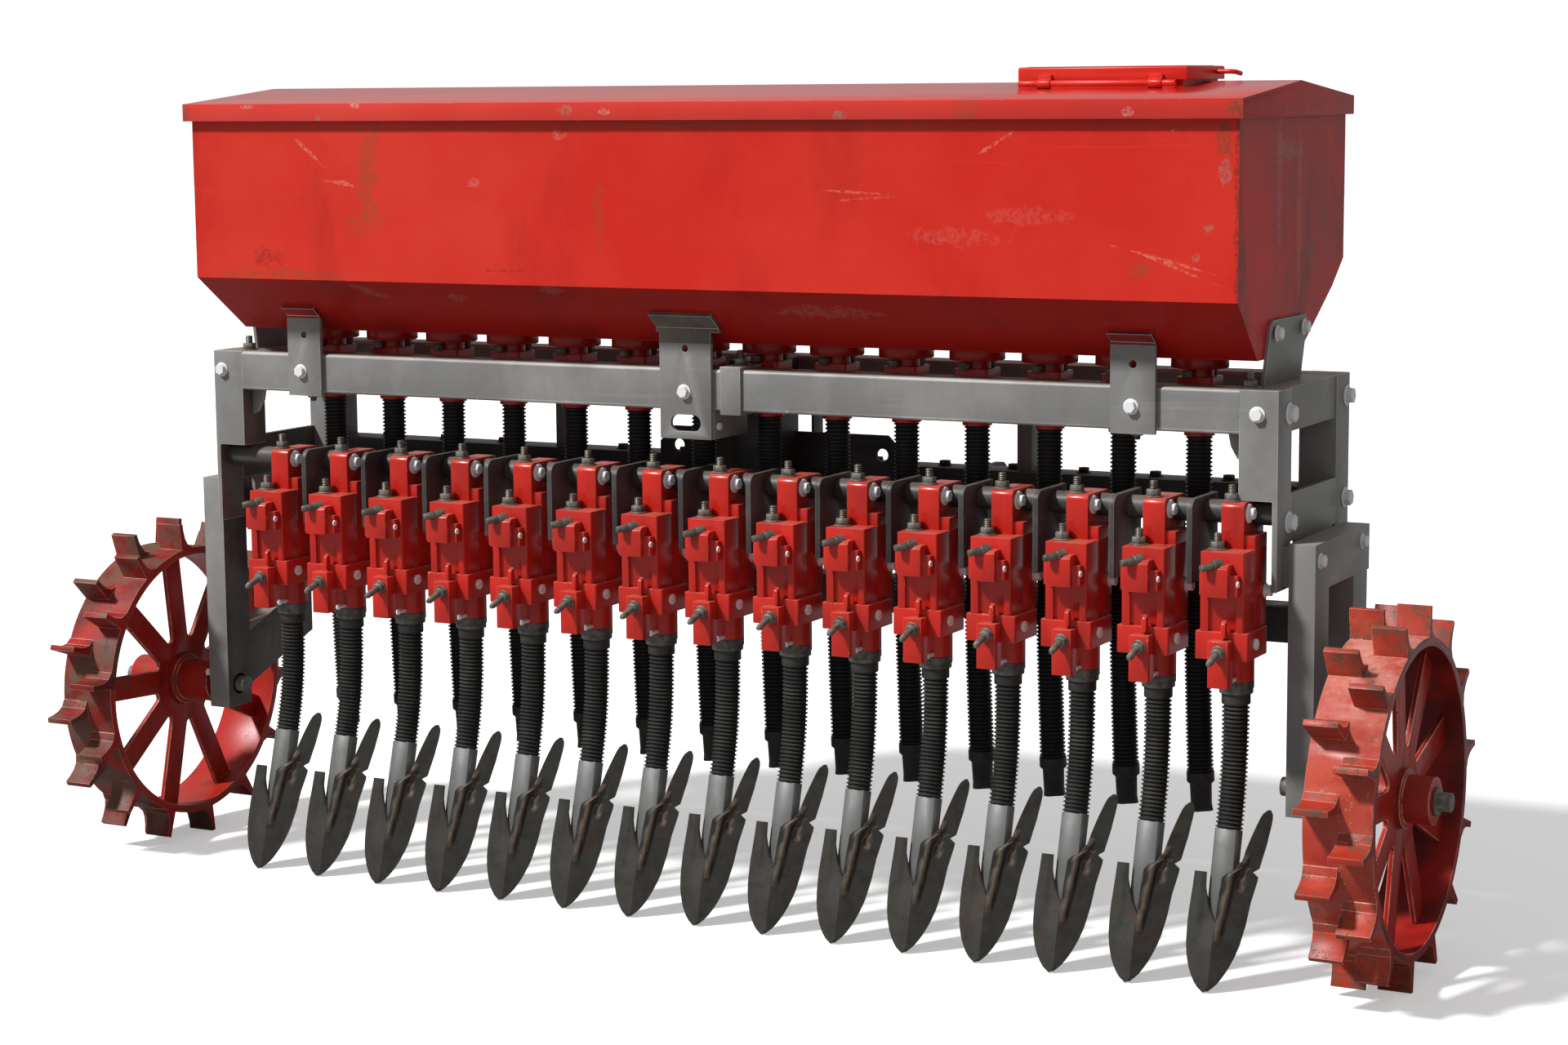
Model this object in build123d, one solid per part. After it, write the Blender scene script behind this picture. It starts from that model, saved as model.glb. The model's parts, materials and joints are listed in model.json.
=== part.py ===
"""Fifteen-row seed drill with a sheet-metal hopper, side ground wheels and a rear three-point hitch.

Millimetres. X runs across the machine to its right, Y forwards in the direction of travel (the
hitch side), Z up. The origin is on the ground under the middle of the machine.
"""
import math
import os

from build123d import *

os.makedirs("parts", exist_ok=True)

# ---------------------------------------------------------------- overall frame
frame_front = -112.0        # front face of the front top rail
frame_depth = 330.0         # front face of the front rail to rear face of the rear rail
frame_half = 943.0          # centre line to the outer face of a corner post
rail_top = 863.0            # upper face of the top rails
rail_height = 65.0
rail_depth = 60.0
tube_wall = 2.0
post_width = 59.0
post_depth = 61.0
post_wall = 3.0
side_inset = 3.0            # a side rail sits this far inside the face of its posts
post_flange_bottom = 703.0  # below this only the outer web of a front post goes on down
post_web_bottom = 572.0
post_web = 8.0
side_plate_top = 709.0
side_plate_bottom = 639.0
side_plate = 8.0
hanger_plate = 6.0          # plates that hold the tool beam
rear_post_bottom = 632.0

# ---------------------------------------------------------------- rows
row_pitch = 120.0
row_count = 15
row_shift = 43.0            # the rows stand this far to the right of the middle
hose_count = 14             # drop hoses and metering cups
unit_half = 33.0            # row block, half width
unit_front = frame_front - 62.0
unit_depth = 100.0
unit_top = 636.0
unit_bottom = 521.0
collar_half = 40.0
collar_depth = 84.0
collar_bottom = 480.0
neck_r = 26.0
neck_bottom = 441.0
clamp_height = 11.0
ear_top = 702.0
ear_half = 17.0
ear_front = 20.0            # the ear stands this far ahead of the frame's front face
ear_back = 66.0             # and reaches this far behind it
ear_round = 9.0
shoulder_set = 5.0          # the shoulder beside an ear starts this far behind the ear's front
shoulder_height = 19.0
casting_round = 3.0         # upright edges of the row castings
window_x = (-20.0, 22.0)    # recess under the lock block
window_top = 574.0
window_depth = 6.0
joint_y = frame_front - 18.0                # joint line on the right side of a row block
joint_width = 1.5
boss_spot = (frame_front + 16.0, 573.0)     # y, z of the bolt boss on that side
boss_r = 12.0
boss_height = 5.0
# blocks on the front of a row block; columns: left x, right x, depth, bottom z, top z
lock_blocks = [(-22.0, 16.0, 23.0, 574.0, 620.0), (-27.0, -22.0, 19.0, 576.0, 610.0),
               (16.0, 27.0, 12.0, 575.0, 605.0)]
lock_bevel = 5.0
fin_x = (3.0, 10.0)
fin_reach = 14.0
latch_x = (-12.0, 18.0)
latch_depth = 24.0
latch_z = (443.0, 511.0)
latch_gap = 0.2             # the latch bar clears the casting by this much
plate_thick = 8.0           # plates between the rows
plate_span = (35.0, 75.0)   # ahead of and behind the frame's front face
plate_z = (572.0, 705.0)
plate_round = 16.0
cross_tube_r = 17.0
cross_tube_wall = 5.0
cross_tube_y = frame_front + 33.0
cross_tube_z = 682.0
tube_fit = 0.15             # radial clearance of the cross tube in the ears and row plates

# ---------------------------------------------------------------- tool beam and rear beam
tool_beam_y = frame_front + 150.0
tool_beam_side = 54.0
tool_beam_bottom = 473.0
rear_beam_top = 692.0
rear_beam_height = 60.0

# ---------------------------------------------------------------- wheels
axle_y = frame_front + 56.0
rim_radius = 234.0
rim_width = 101.0
rim_wall = 13.0
rim_gap = 52.0              # carrier to the inboard edge of the rim
lug_height = 45.0
lug_length = 50.0
lugs_per_row = 14
lug_plate = 9.0             # thickness of a cleat's plate
# hollow root on one side of a cleat; columns: distance from the plate's middle, height on the rim
lug_root = [(5.0, 32.0), (7.5, 18.0), (13.0, 7.0), (24.0, 0.0)]
spoke_count = 9
spoke_plate = 8.0
spoke_set = 65.0            # the plate stands this far inside the left-hand edge of either rim
spoke_root = 46.0
spoke_tip = 38.0
spoke_lean = 6.5             # degrees that the upper spoke leans to the front at rest
hub_disc_r = 68.0
hub_r = 35.0
hub_flange = (44.0, 8.0)    # radius and thickness of the ring on the right of the plate
hub_overhang = 20.0         # the hub sleeve stands this far outside the rim
axle_r = 14.0
axle_fit = 0.05             # radial running clearance of the hub on its axle
axle_play = 0.5             # end play of the hub between its collars
axle_seat_fit = 0.1         # radial clearance of the axle in the carrier
collar_thick = 6.0

# ---------------------------------------------------------------- wheel carriers
carrier_gap = 10.0          # spacer between the side plate and the carrier
carrier_width = 40.0
carrier_wall = 2.5
carrier_leg = 64.0
carrier_back_inset = 50.0   # the carrier ends this far ahead of the frame's rear face
carrier_top = 641.0
carrier_rail = 69.0
carrier_bottom = 240.0
rear_leg = 66.0
rear_leg_set = 9.0          # the rear leg stands this far inside the rail's rear end
brace_foot = 273.0          # lower edge of the brace where it leaves the front leg
brace_height = 94.0
brace_rise = 20.0           # degrees
pad_inset = 6.0             # the spacer pads stop this far inside the carrier's rail
rear_pad = (52.0, 9.0)      # the rear pad, ahead of the rear post

# ---------------------------------------------------------------- hitch
lower_pin_x = 341.0         # shoulder of each lower pin from the middle
lower_pin_r = 11.0
lower_pin_root_r = 15.0     # the pin is thicker where it is welded in its ear
lower_pin_length = 62.0
lower_pin_z = 648.0
lower_pin_reach = 62.0      # pins stand this far behind the rear beam
hitch_ear = 12.0            # thickness of the plate that carries a lower pin
pin_seat_fit = 0.1          # radial clearance of a pin's root in its ear
top_pin_r = 9.6
mast_height = 460.0         # top link bore above the lower pins
mast_set = 33.0             # top link bore behind the hopper's rear panel
mast_plate = 5.0
mast_gap = 52.0             # clear width between the two mast plates
hitch_plate_thick = 6.0
hitch_plate_y = frame_front + frame_depth - rail_depth - hitch_plate_thick
hitch_plate_half = 224.0
hitch_plate_top = 740.0
hitch_hole_r = 10.0
hitch_hole_x = 188.0
hitch_hole_z = 708.0
column_half = 34.0
column_front = frame_front + 159.0
column_bottom = 632.0
upright_x = 428.0
upright_width = 26.0
upright_depth = 30.0
upright_wall = 5.0

# ---------------------------------------------------------------- hopper
hopper_front = frame_front - 80.0
hopper_depth = 475.0
hopper_inset = 34.0         # outer face of an end panel, in from the corner posts
hopper_end_taper = 10.0     # the end panels lean in by this much at the floor
hopper_floor_z = 901.5
floor_front = frame_front + 34.0
floor_depth = 190.0
front_kink = 992.0
rear_kink = 1032.0
sheet = 1.0
roof_fit = 0.2              # the roof sheet lies this far above the panels' edges
eave_top = 1277.0
eave_bottom = 1249.0
eave_front = 13.0           # overhang of the roof past the front and rear panels
eave_end = 9.0              # overhang past the end panels
ridge_top = 1301.0

# ---------------------------------------------------------------- hopper seats
front_brackets = [(-749.0, 66.0), (724.0, 70.0)]        # columns: centre x, width
bracket_plate = 8.0
bracket_bottom = 793.0
bracket_reach = 20.0        # a front bracket's tip stands this far ahead of the rail
bracket_hole = (6.0, 895.0)                 # radius, z
centre_bracket_x = -21.0
centre_bracket_width = 91.0
centre_bracket_bottom = 753.0
centre_bracket_reach = 30.0
centre_flap = (-72.0, 40.0)                 # the bent flap is wider than the plate under it
slot_half_run = 14.0
slot_r = 13.0
slot_z = 778.0
cheek = (17.5, 25.5)                        # the cheek welded behind the centre bracket
cheek_depth = 110.0
sleeve_x = (39.0, 75.0)
sleeve_wall = 5.0
end_mount_y = (frame_front + 60.0, frame_front + 224.0)
end_mount_top = 958.0
end_mount_plate = 6.0
end_mount_round = 14.0

# ---------------------------------------------------------------- filler opening and lid
lid_left = 513.0
lid_width = 264.0
lid_front = frame_front + 62.0
lid_depth = 160.0
lid_bottom = 1303.5
lid_top = 1323.5
lid_wall = 1.5
curb_gap = 6.0              # clearance between the curb and the inside of the lid
lid_seat = 0.3              # the closed lid stands this far above its curb
loop_length = 20.0
loop_r = 6.5
hinge_pin_r = 2.5
hinge_lift = 0.8            # the loops turn this far above the roof
hinge_r = 5.0
hinge_fit = 0.1             # radial running clearance of the lid's loops on the pin
knuckles = (0.17, 0.17)     # places of the hinge loops along the lid, from each end

# ---------------------------------------------------------------- seed hoses
hose_r = 19.5
hose_wall = 3.0
hose_y = frame_front + 4.0          # axis of a row hose where it leaves its neck
drop_y = frame_front + 121.0
cup_bottom = 781.0
cup_bore = 13.0
# rings of a metering cup from the hopper floor down; columns: radius, height
cup_disc = (38.0, 8.0)
cup_neck = (21.0, 24.5)
cup_base_half = 28.0        # square base under the neck
cup_base_height = 54.0
cup_base_round = 6.0
cup_outlet_r = 23.0
boot_top = 272.0
boot_bottom = 212.0

# ---------------------------------------------------------------- openers
opener_r = 20.0
opener_wall = 5.5
opener_top = (frame_front - 20.0, 224.0)        # y, z on the tube's axis
opener_foot = (frame_front - 56.0, 96.0)
shovel_rake = math.degrees(math.atan(0.27))
shovel_thick = 9.0
shovel_tip_y = frame_front - 107.0
wing_sweep = 14.0                               # degrees each wing is turned back
shovel_clear = 1.5          # the tips hang this far above the ground while the frame is level


def row_xs():
    """Centre line of each row, from left to right."""
    first = row_shift - row_pitch * (row_count - 1) / 2
    return [first + row_pitch * i for i in range(row_count)]


def drop_xs():
    """Centre line of each drop hose and its metering cup."""
    first = -row_pitch * (hose_count - 1) / 2
    return [first + row_pitch * i for i in range(hose_count)]


def block(x0, x1, y0, y1, z0, z1):
    """A box between two corners."""
    return Pos((x0 + x1) / 2, (y0 + y1) / 2, (z0 + z1) / 2) * Box(x1 - x0, y1 - y0, z1 - z0)


def profile_x(points, x0, x1):
    """A (y, z) outline made solid from x0 to x1."""
    face = make_face(Plane.YZ * Polyline(*points, close=True))
    return Pos(x0, 0, 0) * extrude(face, x1 - x0, dir=(1, 0, 0))


def profile_y(points, y0, y1):
    """An (x, z) outline made solid from y0 to y1."""
    edges = Polyline(*[(x, 0, z) for x, z in points], close=True)
    return Pos(0, y0, 0) * extrude(make_face(edges), y1 - y0, dir=(0, 1, 0))


def bar_x(r, x0, x1, y, z):
    """A round bar along X."""
    return Pos((x0 + x1) / 2, y, z) * Rot(0, 90, 0) * Cylinder(r, x1 - x0)


def bar_y(r, y0, y1, x, z):
    """A round bar along Y."""
    return Pos(x, (y0 + y1) / 2, z) * Rot(90, 0, 0) * Cylinder(r, y1 - y0)


def bar_z(r, z0, z1, x, y):
    """A round bar along Z."""
    return Pos(x, y, (z0 + z1) / 2) * Cylinder(r, z1 - z0)


def tube_x(x0, x1, y0, y1, z0, z1, wall):
    """A rectangular tube along X, open at both ends."""
    return block(x0, x1, y0, y1, z0, z1) - block(x0, x1, y0 + wall, y1 - wall, z0 + wall, z1 - wall)


def tube_y(x0, x1, y0, y1, z0, z1, wall):
    """A rectangular tube along Y, open at both ends."""
    return block(x0, x1, y0, y1, z0, z1) - block(x0 + wall, x1 - wall, y0, y1, z0 + wall, z1 - wall)


def mirror_x(solid):
    """The same piece on the other side of the machine."""
    return mirror(solid, Plane.YZ)


def both_sides(solid):
    """A right-hand piece and its mirror image on the left."""
    return [solid, mirror_x(solid)]


def along_rows(solid):
    """A copy of a piece made at x = 0 on every row."""
    return [Pos(x, 0, 0) * solid for x in row_xs()]


def save(name, solids):
    """Write one node, as one solid or as several that don't touch."""
    solids = solids if isinstance(solids, list) else [solids]
    flat = [s for piece in solids for s in piece.solids()]
    export_step(flat[0] if len(flat) == 1 else Compound(children=flat), f"parts/{name}.step")


# ================================================================ frame
post_in = frame_half - post_width          # inner face of a post
rear_face = frame_front + frame_depth
front_post_back = frame_front + post_depth
rear_post_front = rear_face - post_depth
carrier_front = axle_y - carrier_leg / 2
carrier_back = rear_face - carrier_back_inset


def top_rail(y0):
    return tube_x(-post_in, post_in, y0, y0 + rail_depth, rail_top - rail_height, rail_top, tube_wall)


def side_top_rail():
    x1 = frame_half - side_inset
    return tube_y(post_in + side_inset, x1, front_post_back, rear_post_front,
                  rail_top - rail_height + 1, rail_top, tube_wall)


def front_post():
    """A box post whose outer web alone goes on down past the first row."""
    outer = block(post_in, frame_half, frame_front, front_post_back, post_flange_bottom, rail_top)
    inner = block(post_in + post_wall, frame_half - post_web, frame_front + post_wall,
                  front_post_back - post_wall, post_flange_bottom, rail_top - post_wall)
    web = block(frame_half - post_web, frame_half, frame_front, front_post_back,
                post_web_bottom, post_flange_bottom)
    return outer - inner + web


def rear_post():
    outer = block(post_in, frame_half, rear_post_front, rear_face, rear_post_bottom, rail_top)
    inner = block(post_in + post_wall, frame_half - post_wall, rear_post_front + post_wall,
                  rear_face - post_wall, rear_post_bottom, rail_top - post_wall)
    return outer - inner


def side_lower_plate():
    return block(frame_half - side_plate, frame_half, front_post_back, rear_post_front,
                 side_plate_bottom, side_plate_top)


def rear_beam():
    """Channel with its web in front and its flanges to the back."""
    y0, z0 = rear_face - rail_depth, rear_beam_top - rear_beam_height
    outer = block(-post_in, post_in, y0, rear_face, z0, rear_beam_top)
    return outer - block(-post_in - 1, post_in + 1, y0 + tube_wall, rear_face + 1,
                         z0 + tube_wall, rear_beam_top - tube_wall)


def tool_beam():
    x = frame_half - side_plate
    return tube_x(-x, x, tool_beam_y, tool_beam_y + tool_beam_side,
                  tool_beam_bottom, tool_beam_bottom + tool_beam_side, tube_wall)


def beam_hanger():
    """Plate that carries the end of the tool beam under the side plate."""
    y0 = carrier_front + carrier_leg + 4
    y1 = rear_post_front - 7
    return block(frame_half - side_plate, frame_half - side_plate + hanger_plate, y0, y1,
                 tool_beam_bottom - 8, side_plate_bottom)


def corner_gusset():
    """Cheek under each end of the front rail."""
    z = rail_top - rail_height
    y = frame_front + rail_depth / 2
    x = post_in
    points = [(x, z), (x - 26, z), (x - 22, z - 20), (x - 12, z - 38), (x, z - 44)]
    return profile_y(points, y - 3, y + 3)


# ================================================================ rows
def ear(x):
    """Rounded ear that stands on a row block and carries the cross tube, with a shoulder on its right."""
    y0, y1 = frame_front - ear_front, frame_front + ear_back
    body = block(x - ear_half, x + ear_half, y0, y1, unit_top, ear_top)
    body = fillet(body.edges().filter_by(Axis.X).group_by(Axis.Z)[-1], ear_round)
    shoulder = block(x, x + unit_half, y0 + shoulder_set, unit_front + unit_depth,
                     unit_top, unit_top + shoulder_height)
    shoulder = fillet(shoulder.edges().filter_by(Axis.Z).group_by(Axis.X)[-1], casting_round)
    hole = bar_x(cross_tube_r + tube_fit, x - unit_half - 1, x + unit_half + 1, cross_tube_y, cross_tube_z)
    return body + shoulder - hole


def unit_block(x):
    """Main casting of a row, with the recess under its lock block, a joint line and a bolt boss."""
    right = x + unit_half
    body = block(x - unit_half, right, unit_front, unit_front + unit_depth, unit_bottom, unit_top)
    body = fillet(body.edges().filter_by(Axis.Z), casting_round)
    window = block(x + window_x[0], x + window_x[1], unit_front - 1, unit_front + window_depth,
                   unit_bottom, window_top)
    joint = block(right - joint_width, right + 1, joint_y, joint_y + joint_width, unit_bottom, unit_top)
    return body - window - joint + bar_x(boss_r, right - joint_width, right + boss_height, *boss_spot)


def unit_lock(x):
    """Lock block on the front of a row block, with a lower strip on its left and a step on its right."""
    main, strip, step = [block(x + x0, x + x1, unit_front - depth, unit_front, z0, z1)
                         for x0, x1, depth, z0, z1 in lock_blocks]
    main = chamfer(main.edges().filter_by(Axis.X).group_by(Axis.Z)[-1].sort_by(Axis.Y)[0:1], lock_bevel)
    return main + strip + step


def unit_collar(x):
    """Collar casting under a row block, with the neck for its hose."""
    body = block(x - collar_half, x + collar_half, unit_front, unit_front + collar_depth,
                 collar_bottom, unit_bottom)
    body = fillet(body.edges().filter_by(Axis.Z), casting_round)
    low = latch_z[1]
    fin = profile_x([(unit_front, low), (unit_front - fin_reach, low + 4),
                     (unit_front - fin_reach + 2, low + 24), (unit_front - 4, low + 29),
                     (unit_front, unit_bottom)], x + fin_x[0], x + fin_x[1])
    return body + fin + bar_z(neck_r, neck_bottom, collar_bottom, x, hose_y)


def unit_latch(x):
    """Latch bar bolted to the front of the collar."""
    return block(x + latch_x[0], x + latch_x[1], unit_front - latch_depth, unit_front - latch_gap, *latch_z)


def hose_clamp(x):
    low = neck_bottom - clamp_height
    return bar_z(neck_r, low, neck_bottom, x, hose_y) - bar_z(hose_r, low - 1, neck_bottom + 1, x, hose_y)


def hose_points(x):
    """A row hose drops from its neck and leans forwards into the top of its opener tube."""
    (y0, z0), (y1, z1) = opener_top, opener_foot
    lean = (y1 - y0) / (z1 - z0)
    drop = (neck_bottom - z0) / 4
    route = [(hose_y, neck_bottom), (hose_y, neck_bottom - drop), (hose_y - 3, neck_bottom - 2.1 * drop),
             (y0 + lean * 0.85 * drop, z0 + 0.85 * drop), (y0, z0)]
    return [Vector(x, y, z) for y, z in route]


def bend_radii(points):
    """Largest tangent arc at each corner of a route: 0.45 of the shorter run over tan(half turn)."""
    radii = []
    for a, b, c in zip(points, points[1:], points[2:]):
        turn = math.radians((b - a).get_angle(c - b))
        radii.append(0.45 * min((b - a).length, (c - b).length) / math.tan(turn / 2))
    return radii


def hose(points):
    """A round hose along straight runs joined by tangent arcs."""
    path = FilletPolyline(*points, radius=bend_radii(points))
    start = Plane(origin=points[0], z_dir=points[1] - points[0])
    return sweep(start * Circle(hose_r), path) - sweep(start * Circle(hose_r - hose_wall), path)


# outline in the blade's own plane; columns: x from the row's centre, height above the tip
left_wing = [(0, 4), (-6, 0), (-24, 29), (-33, 56), (-34, 92), (-31, 173), (0, 173)]
right_wing = [(0, 4), (24, 41), (35, 71), (41, 106), (44, 136), (52, 172), (46, 180), (57, 183),
              (65, 222), (70, 263), (64, 270), (55, 266), (42, 230), (29, 187), (14, 173), (0, 173)]


def wing(points, sweep_back, front=0.0):
    """One wing of a blade: a flat plate turned back about the centre edge, or thicker in front."""
    edges = Polyline(*[(x, front, z) for x, z in points], close=True)
    plate = extrude(make_face(edges), shovel_thick - front, dir=(0, 1, 0))
    return Rot(0, 0, sweep_back) * plate


def lean_back(blade):
    """Turn an upright blade about its tip and hang the tip just above the ground."""
    return Pos(0, shovel_tip_y, shovel_clear) * Rot(-shovel_rake, 0, 0) * blade


def shovel():
    """Pointed blade with two wings, leaning back from a tip whose back is worn level."""
    blade = lean_back(wing(left_wing, -wing_sweep) + wing(right_wing, wing_sweep))
    return blade - block(-row_pitch, row_pitch, shovel_tip_y - 90, shovel_tip_y + 90, -90, shovel_clear)


def opener_tube():
    """Steel tube whose foot is cut to seat on the back of the blade."""
    top, foot = Vector(0, *opener_top), Vector(0, *opener_foot)
    axis = foot - top
    middle = Plane(origin=top, z_dir=axis) * Pos(0, 0, axis.length / 2)
    tube = middle * Cylinder(opener_r, axis.length)
    tube -= middle * Cylinder(opener_r - opener_wall, axis.length + 1)
    wide = [(-90, -40), (90, -40), (90, 300), (-90, 300)]
    space = wing(wide, wing_sweep, -90) + wing(wide, -wing_sweep, -90)
    return tube - lean_back(space)


def row_plate(x):
    """Plate between two rows, threaded on the cross tube."""
    x0, x1 = x - plate_thick / 2, x + plate_thick / 2
    plate = block(x0, x1, frame_front - plate_span[0], frame_front + plate_span[1], *plate_z)
    plate = fillet(plate.edges().filter_by(Axis.X).group_by(Axis.Z)[-1].sort_by(Axis.Y)[0:1], plate_round)
    return plate - bar_x(cross_tube_r + tube_fit, x0 - 1, x1 + 1, cross_tube_y, cross_tube_z)


def cross_tube():
    x = frame_half - post_web
    bore = bar_x(cross_tube_r - cross_tube_wall, -x, x, cross_tube_y, cross_tube_z)
    return bar_x(cross_tube_r, -x, x, cross_tube_y, cross_tube_z) - bore


# ================================================================ hopper
roof_mid = hopper_front + hopper_depth / 2
hopper_rear = hopper_front + hopper_depth
hopper_half = frame_half - hopper_inset
roof_slope = (ridge_top - eave_top) / (hopper_depth / 2 + eave_front)


def roof_z(y, drop=0.0):
    """Height of the roof's upper face at y, or that much below it."""
    return ridge_top - abs(y - roof_mid) * roof_slope - drop


def hopper_section(inset, top_drop):
    """(y, z) outline of the hopper, inset from its outer face."""
    def lower(y0, z0, y1, z1, side):
        # the slanted panel moved inwards along its normal
        length = math.hypot(y1 - y0, z1 - z0)
        ny, nz = side * abs(z1 - z0) / length, abs(y1 - y0) / length
        return (y0 + ny * inset, z0 + nz * inset, y1 + ny * inset, z1 + nz * inset)

    def at_z(line, z):
        y0, z0, y1, z1 = line
        return y0 + (y1 - y0) * (z - z0) / (z1 - z0)

    def at_y(line, y):
        y0, z0, y1, z1 = line
        return z0 + (z1 - z0) * (y - y0) / (y1 - y0)

    front = lower(hopper_front, front_kink, floor_front, hopper_floor_z, 1)
    rear = lower(hopper_rear, rear_kink, floor_front + floor_depth, hopper_floor_z, -1)
    bottom = hopper_floor_z + inset
    y0, y1 = hopper_front + inset, hopper_rear - inset
    return [(at_z(front, bottom), bottom), (y0, at_y(front, y0)), (y0, roof_z(y0, top_drop)),
            (roof_mid, roof_z(roof_mid, top_drop)), (y1, roof_z(y1, top_drop)),
            (y1, at_y(rear, y1)), (at_z(rear, bottom), bottom)]


def end_section(inset, top):
    """(x, z) outline of the hopper seen from the front."""
    x, lean = hopper_half - inset, hopper_end_taper
    return [(-x + lean, hopper_floor_z - 1), (-x, front_kink), (-x, top), (x, top), (x, front_kink),
            (x - lean, hopper_floor_z - 1)]


def hopper_panels():
    """The hopper's sheet, split into front, rear, floor and two end panels."""
    far = hopper_half + 50
    top = ridge_top + 60
    outer = profile_x(hopper_section(0, sheet + roof_fit), -far, far)
    outer &= profile_y(end_section(0, top), hopper_front - 9, hopper_rear + 9)
    cavity = profile_x(hopper_section(sheet, -40), -far, far)
    inner_ends = profile_y(end_section(sheet, top), hopper_front - 9, hopper_rear + 9)
    sides = (outer - cavity) & inner_ends
    ends = outer - inner_ends
    floor_cut = block(-far, far, hopper_front, hopper_rear, 0, hopper_floor_z + sheet)
    below = sides & floor_cut
    above = sides - floor_cut
    front = above & block(-far, far, hopper_front - 9, roof_mid, 0, top)
    rear = above & block(-far, far, roof_mid, hopper_rear + 9, 0, top)
    for x in drop_xs():
        below -= bar_z(16, 890, 910, x, drop_y)
    return front, rear, below, ends


def hopper_roof():
    """Gable roof with a turned-down lip all round and the filler opening."""
    x = hopper_half + eave_end
    y0, y1 = hopper_front - eave_front, hopper_rear + eave_front
    outline = [(y0, eave_bottom), (y0, eave_top), (roof_mid, ridge_top), (y1, eave_top), (y1, eave_bottom)]
    under = [(y0 + sheet, eave_bottom - 1), (y0 + sheet, eave_top - sheet), (roof_mid, ridge_top - sheet),
             (y1 - sheet, eave_top - sheet), (y1 - sheet, eave_bottom - 1)]
    roof = profile_x(outline, -x, x) - profile_x(under, -x + sheet, x - sheet)
    return roof - block(*opening_x(), *opening_y(), eave_top - 20, ridge_top + 9)


def opening_x():
    inset = lid_wall + curb_gap
    return lid_left + inset + sheet, lid_left + lid_width - inset - sheet


def opening_y():
    inset = lid_wall + curb_gap
    return lid_front + inset + sheet, lid_front + lid_depth - inset - sheet


def filler_curb():
    """Upright frame round the filler opening."""
    (x0, x1), (y0, y1) = opening_x(), opening_y()
    top = lid_top - lid_wall - lid_seat
    ring = block(x0 - sheet, x1 + sheet, y0 - sheet, y1 + sheet, eave_top, top)
    ring -= block(x0, x1, y0, y1, eave_top - 9, top + 9)
    y_a, y_b = y0 - 20, y1 + 20
    roof = [(y_a, roof_z(y_a)), (roof_mid, ridge_top), (y_b, roof_z(y_b)), (y_b, 1200), (y_a, 1200)]
    return ring - profile_x(roof, x0 - 20, x1 + 20)


def lid_shell():
    """Pressed lid with a skirt all round."""
    x1, y1 = lid_left + lid_width, lid_front + lid_depth
    shell = block(lid_left, x1, lid_front, y1, lid_bottom, lid_top)
    shell = fillet(shell.edges().group_by(Axis.Z)[-1], 4)
    hollow = block(lid_left + lid_wall, x1 - lid_wall, lid_front + lid_wall, y1 - lid_wall,
                   lid_bottom - 1, lid_top - lid_wall)
    return shell - hollow


def lid_loops():
    """Places of the two lid loops along the hinge, as (low x, high x)."""
    half = loop_length / 2
    near, far = lid_left + lid_width * knuckles[0], lid_left + lid_width * (1 - knuckles[1])
    return [(x - half, x + half) for x in (near, far)]


hinge_y = lid_front - loop_r
hinge_z = roof_z(hinge_y) + loop_r + hinge_lift


def filler_lid():
    """The lid and the two loops that turn on the hinge pin."""
    lid = lid_shell()
    for x0, x1 in lid_loops():
        loop = bar_x(loop_r, x0, x1, hinge_y, hinge_z)
        strap = block(x0, x1, hinge_y, lid_front, hinge_z, lid_bottom + 8)
        lid = lid + (loop + strap) - bar_x(hinge_pin_r + hinge_fit, x0 - 1, x1 + 1, hinge_y, hinge_z)
    return lid


def lid_hinge():
    """Fixed hinge tube seated on the roof, broken where the lid's loops turn, and its pin."""
    x0, x1 = lid_left + 4, lid_left + lid_width - 14
    tube = bar_x(hinge_r, x0, x1, hinge_y, hinge_z)
    seat = block(x0, x1, hinge_y - 3, hinge_y + 3, hinge_z - hinge_r - 6, hinge_z)
    seat -= profile_x([(hinge_y - 9, roof_z(hinge_y - 9)), (hinge_y + 9, roof_z(hinge_y + 9)),
                       (hinge_y + 9, 1200), (hinge_y - 9, 1200)], x0 - 1, x1 + 1)
    tube = tube + seat
    for a, b in lid_loops():
        tube -= block(a - 0.5, b + 0.5, hinge_y - 9, hinge_y + 9, hinge_z - 20, hinge_z + 9)
    return tube + bar_x(hinge_pin_r, x0, x1, hinge_y, hinge_z)


def lid_handle():
    """Bent rod at the right-hand end of the lid."""
    x, y, z = lid_left + lid_width, lid_front + lid_depth - 34, lid_bottom + 11
    path = FilletPolyline((x, y, z), (x + 28, y, z), (x + 28, y + 26, z - 3), radius=9)
    return sweep(Plane(origin=(x, y, z), z_dir=(1, 0, 0)) * Circle(3.5), path)


# ================================================================ hopper seats
def slant_z(y):
    """Height of the hopper's slanted front panel, on its outer face."""
    return front_kink - (y - hopper_front) * (front_kink - hopper_floor_z) / (floor_front - hopper_front)


def slanted_plate(x0, x1, bottom, reach):
    """Plate on the face of the front rail, bent forwards under the hopper's slanted panel."""
    y0, y1 = frame_front - bracket_plate, frame_front
    run = math.hypot(floor_front - hopper_front, front_kink - hopper_floor_z)
    drop = bracket_plate * 0.75 * run / (floor_front - hopper_front)
    tip = frame_front - reach
    points = [(y0, bottom), (y1, bottom), (y1, slant_z(y1)), (tip, slant_z(tip)),
              (tip - 4, slant_z(tip) - 5), (y0, slant_z(y0) - drop)]
    return profile_x(points, x0, x1)


def bracket_bore(x):
    r, z = bracket_hole
    return bar_y(r, frame_front - bracket_plate - 1, frame_front + 1, x, z)


def hopper_bracket(x, width):
    return slanted_plate(x - width / 2, x + width / 2, bracket_bottom, bracket_reach) - bracket_bore(x)


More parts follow.
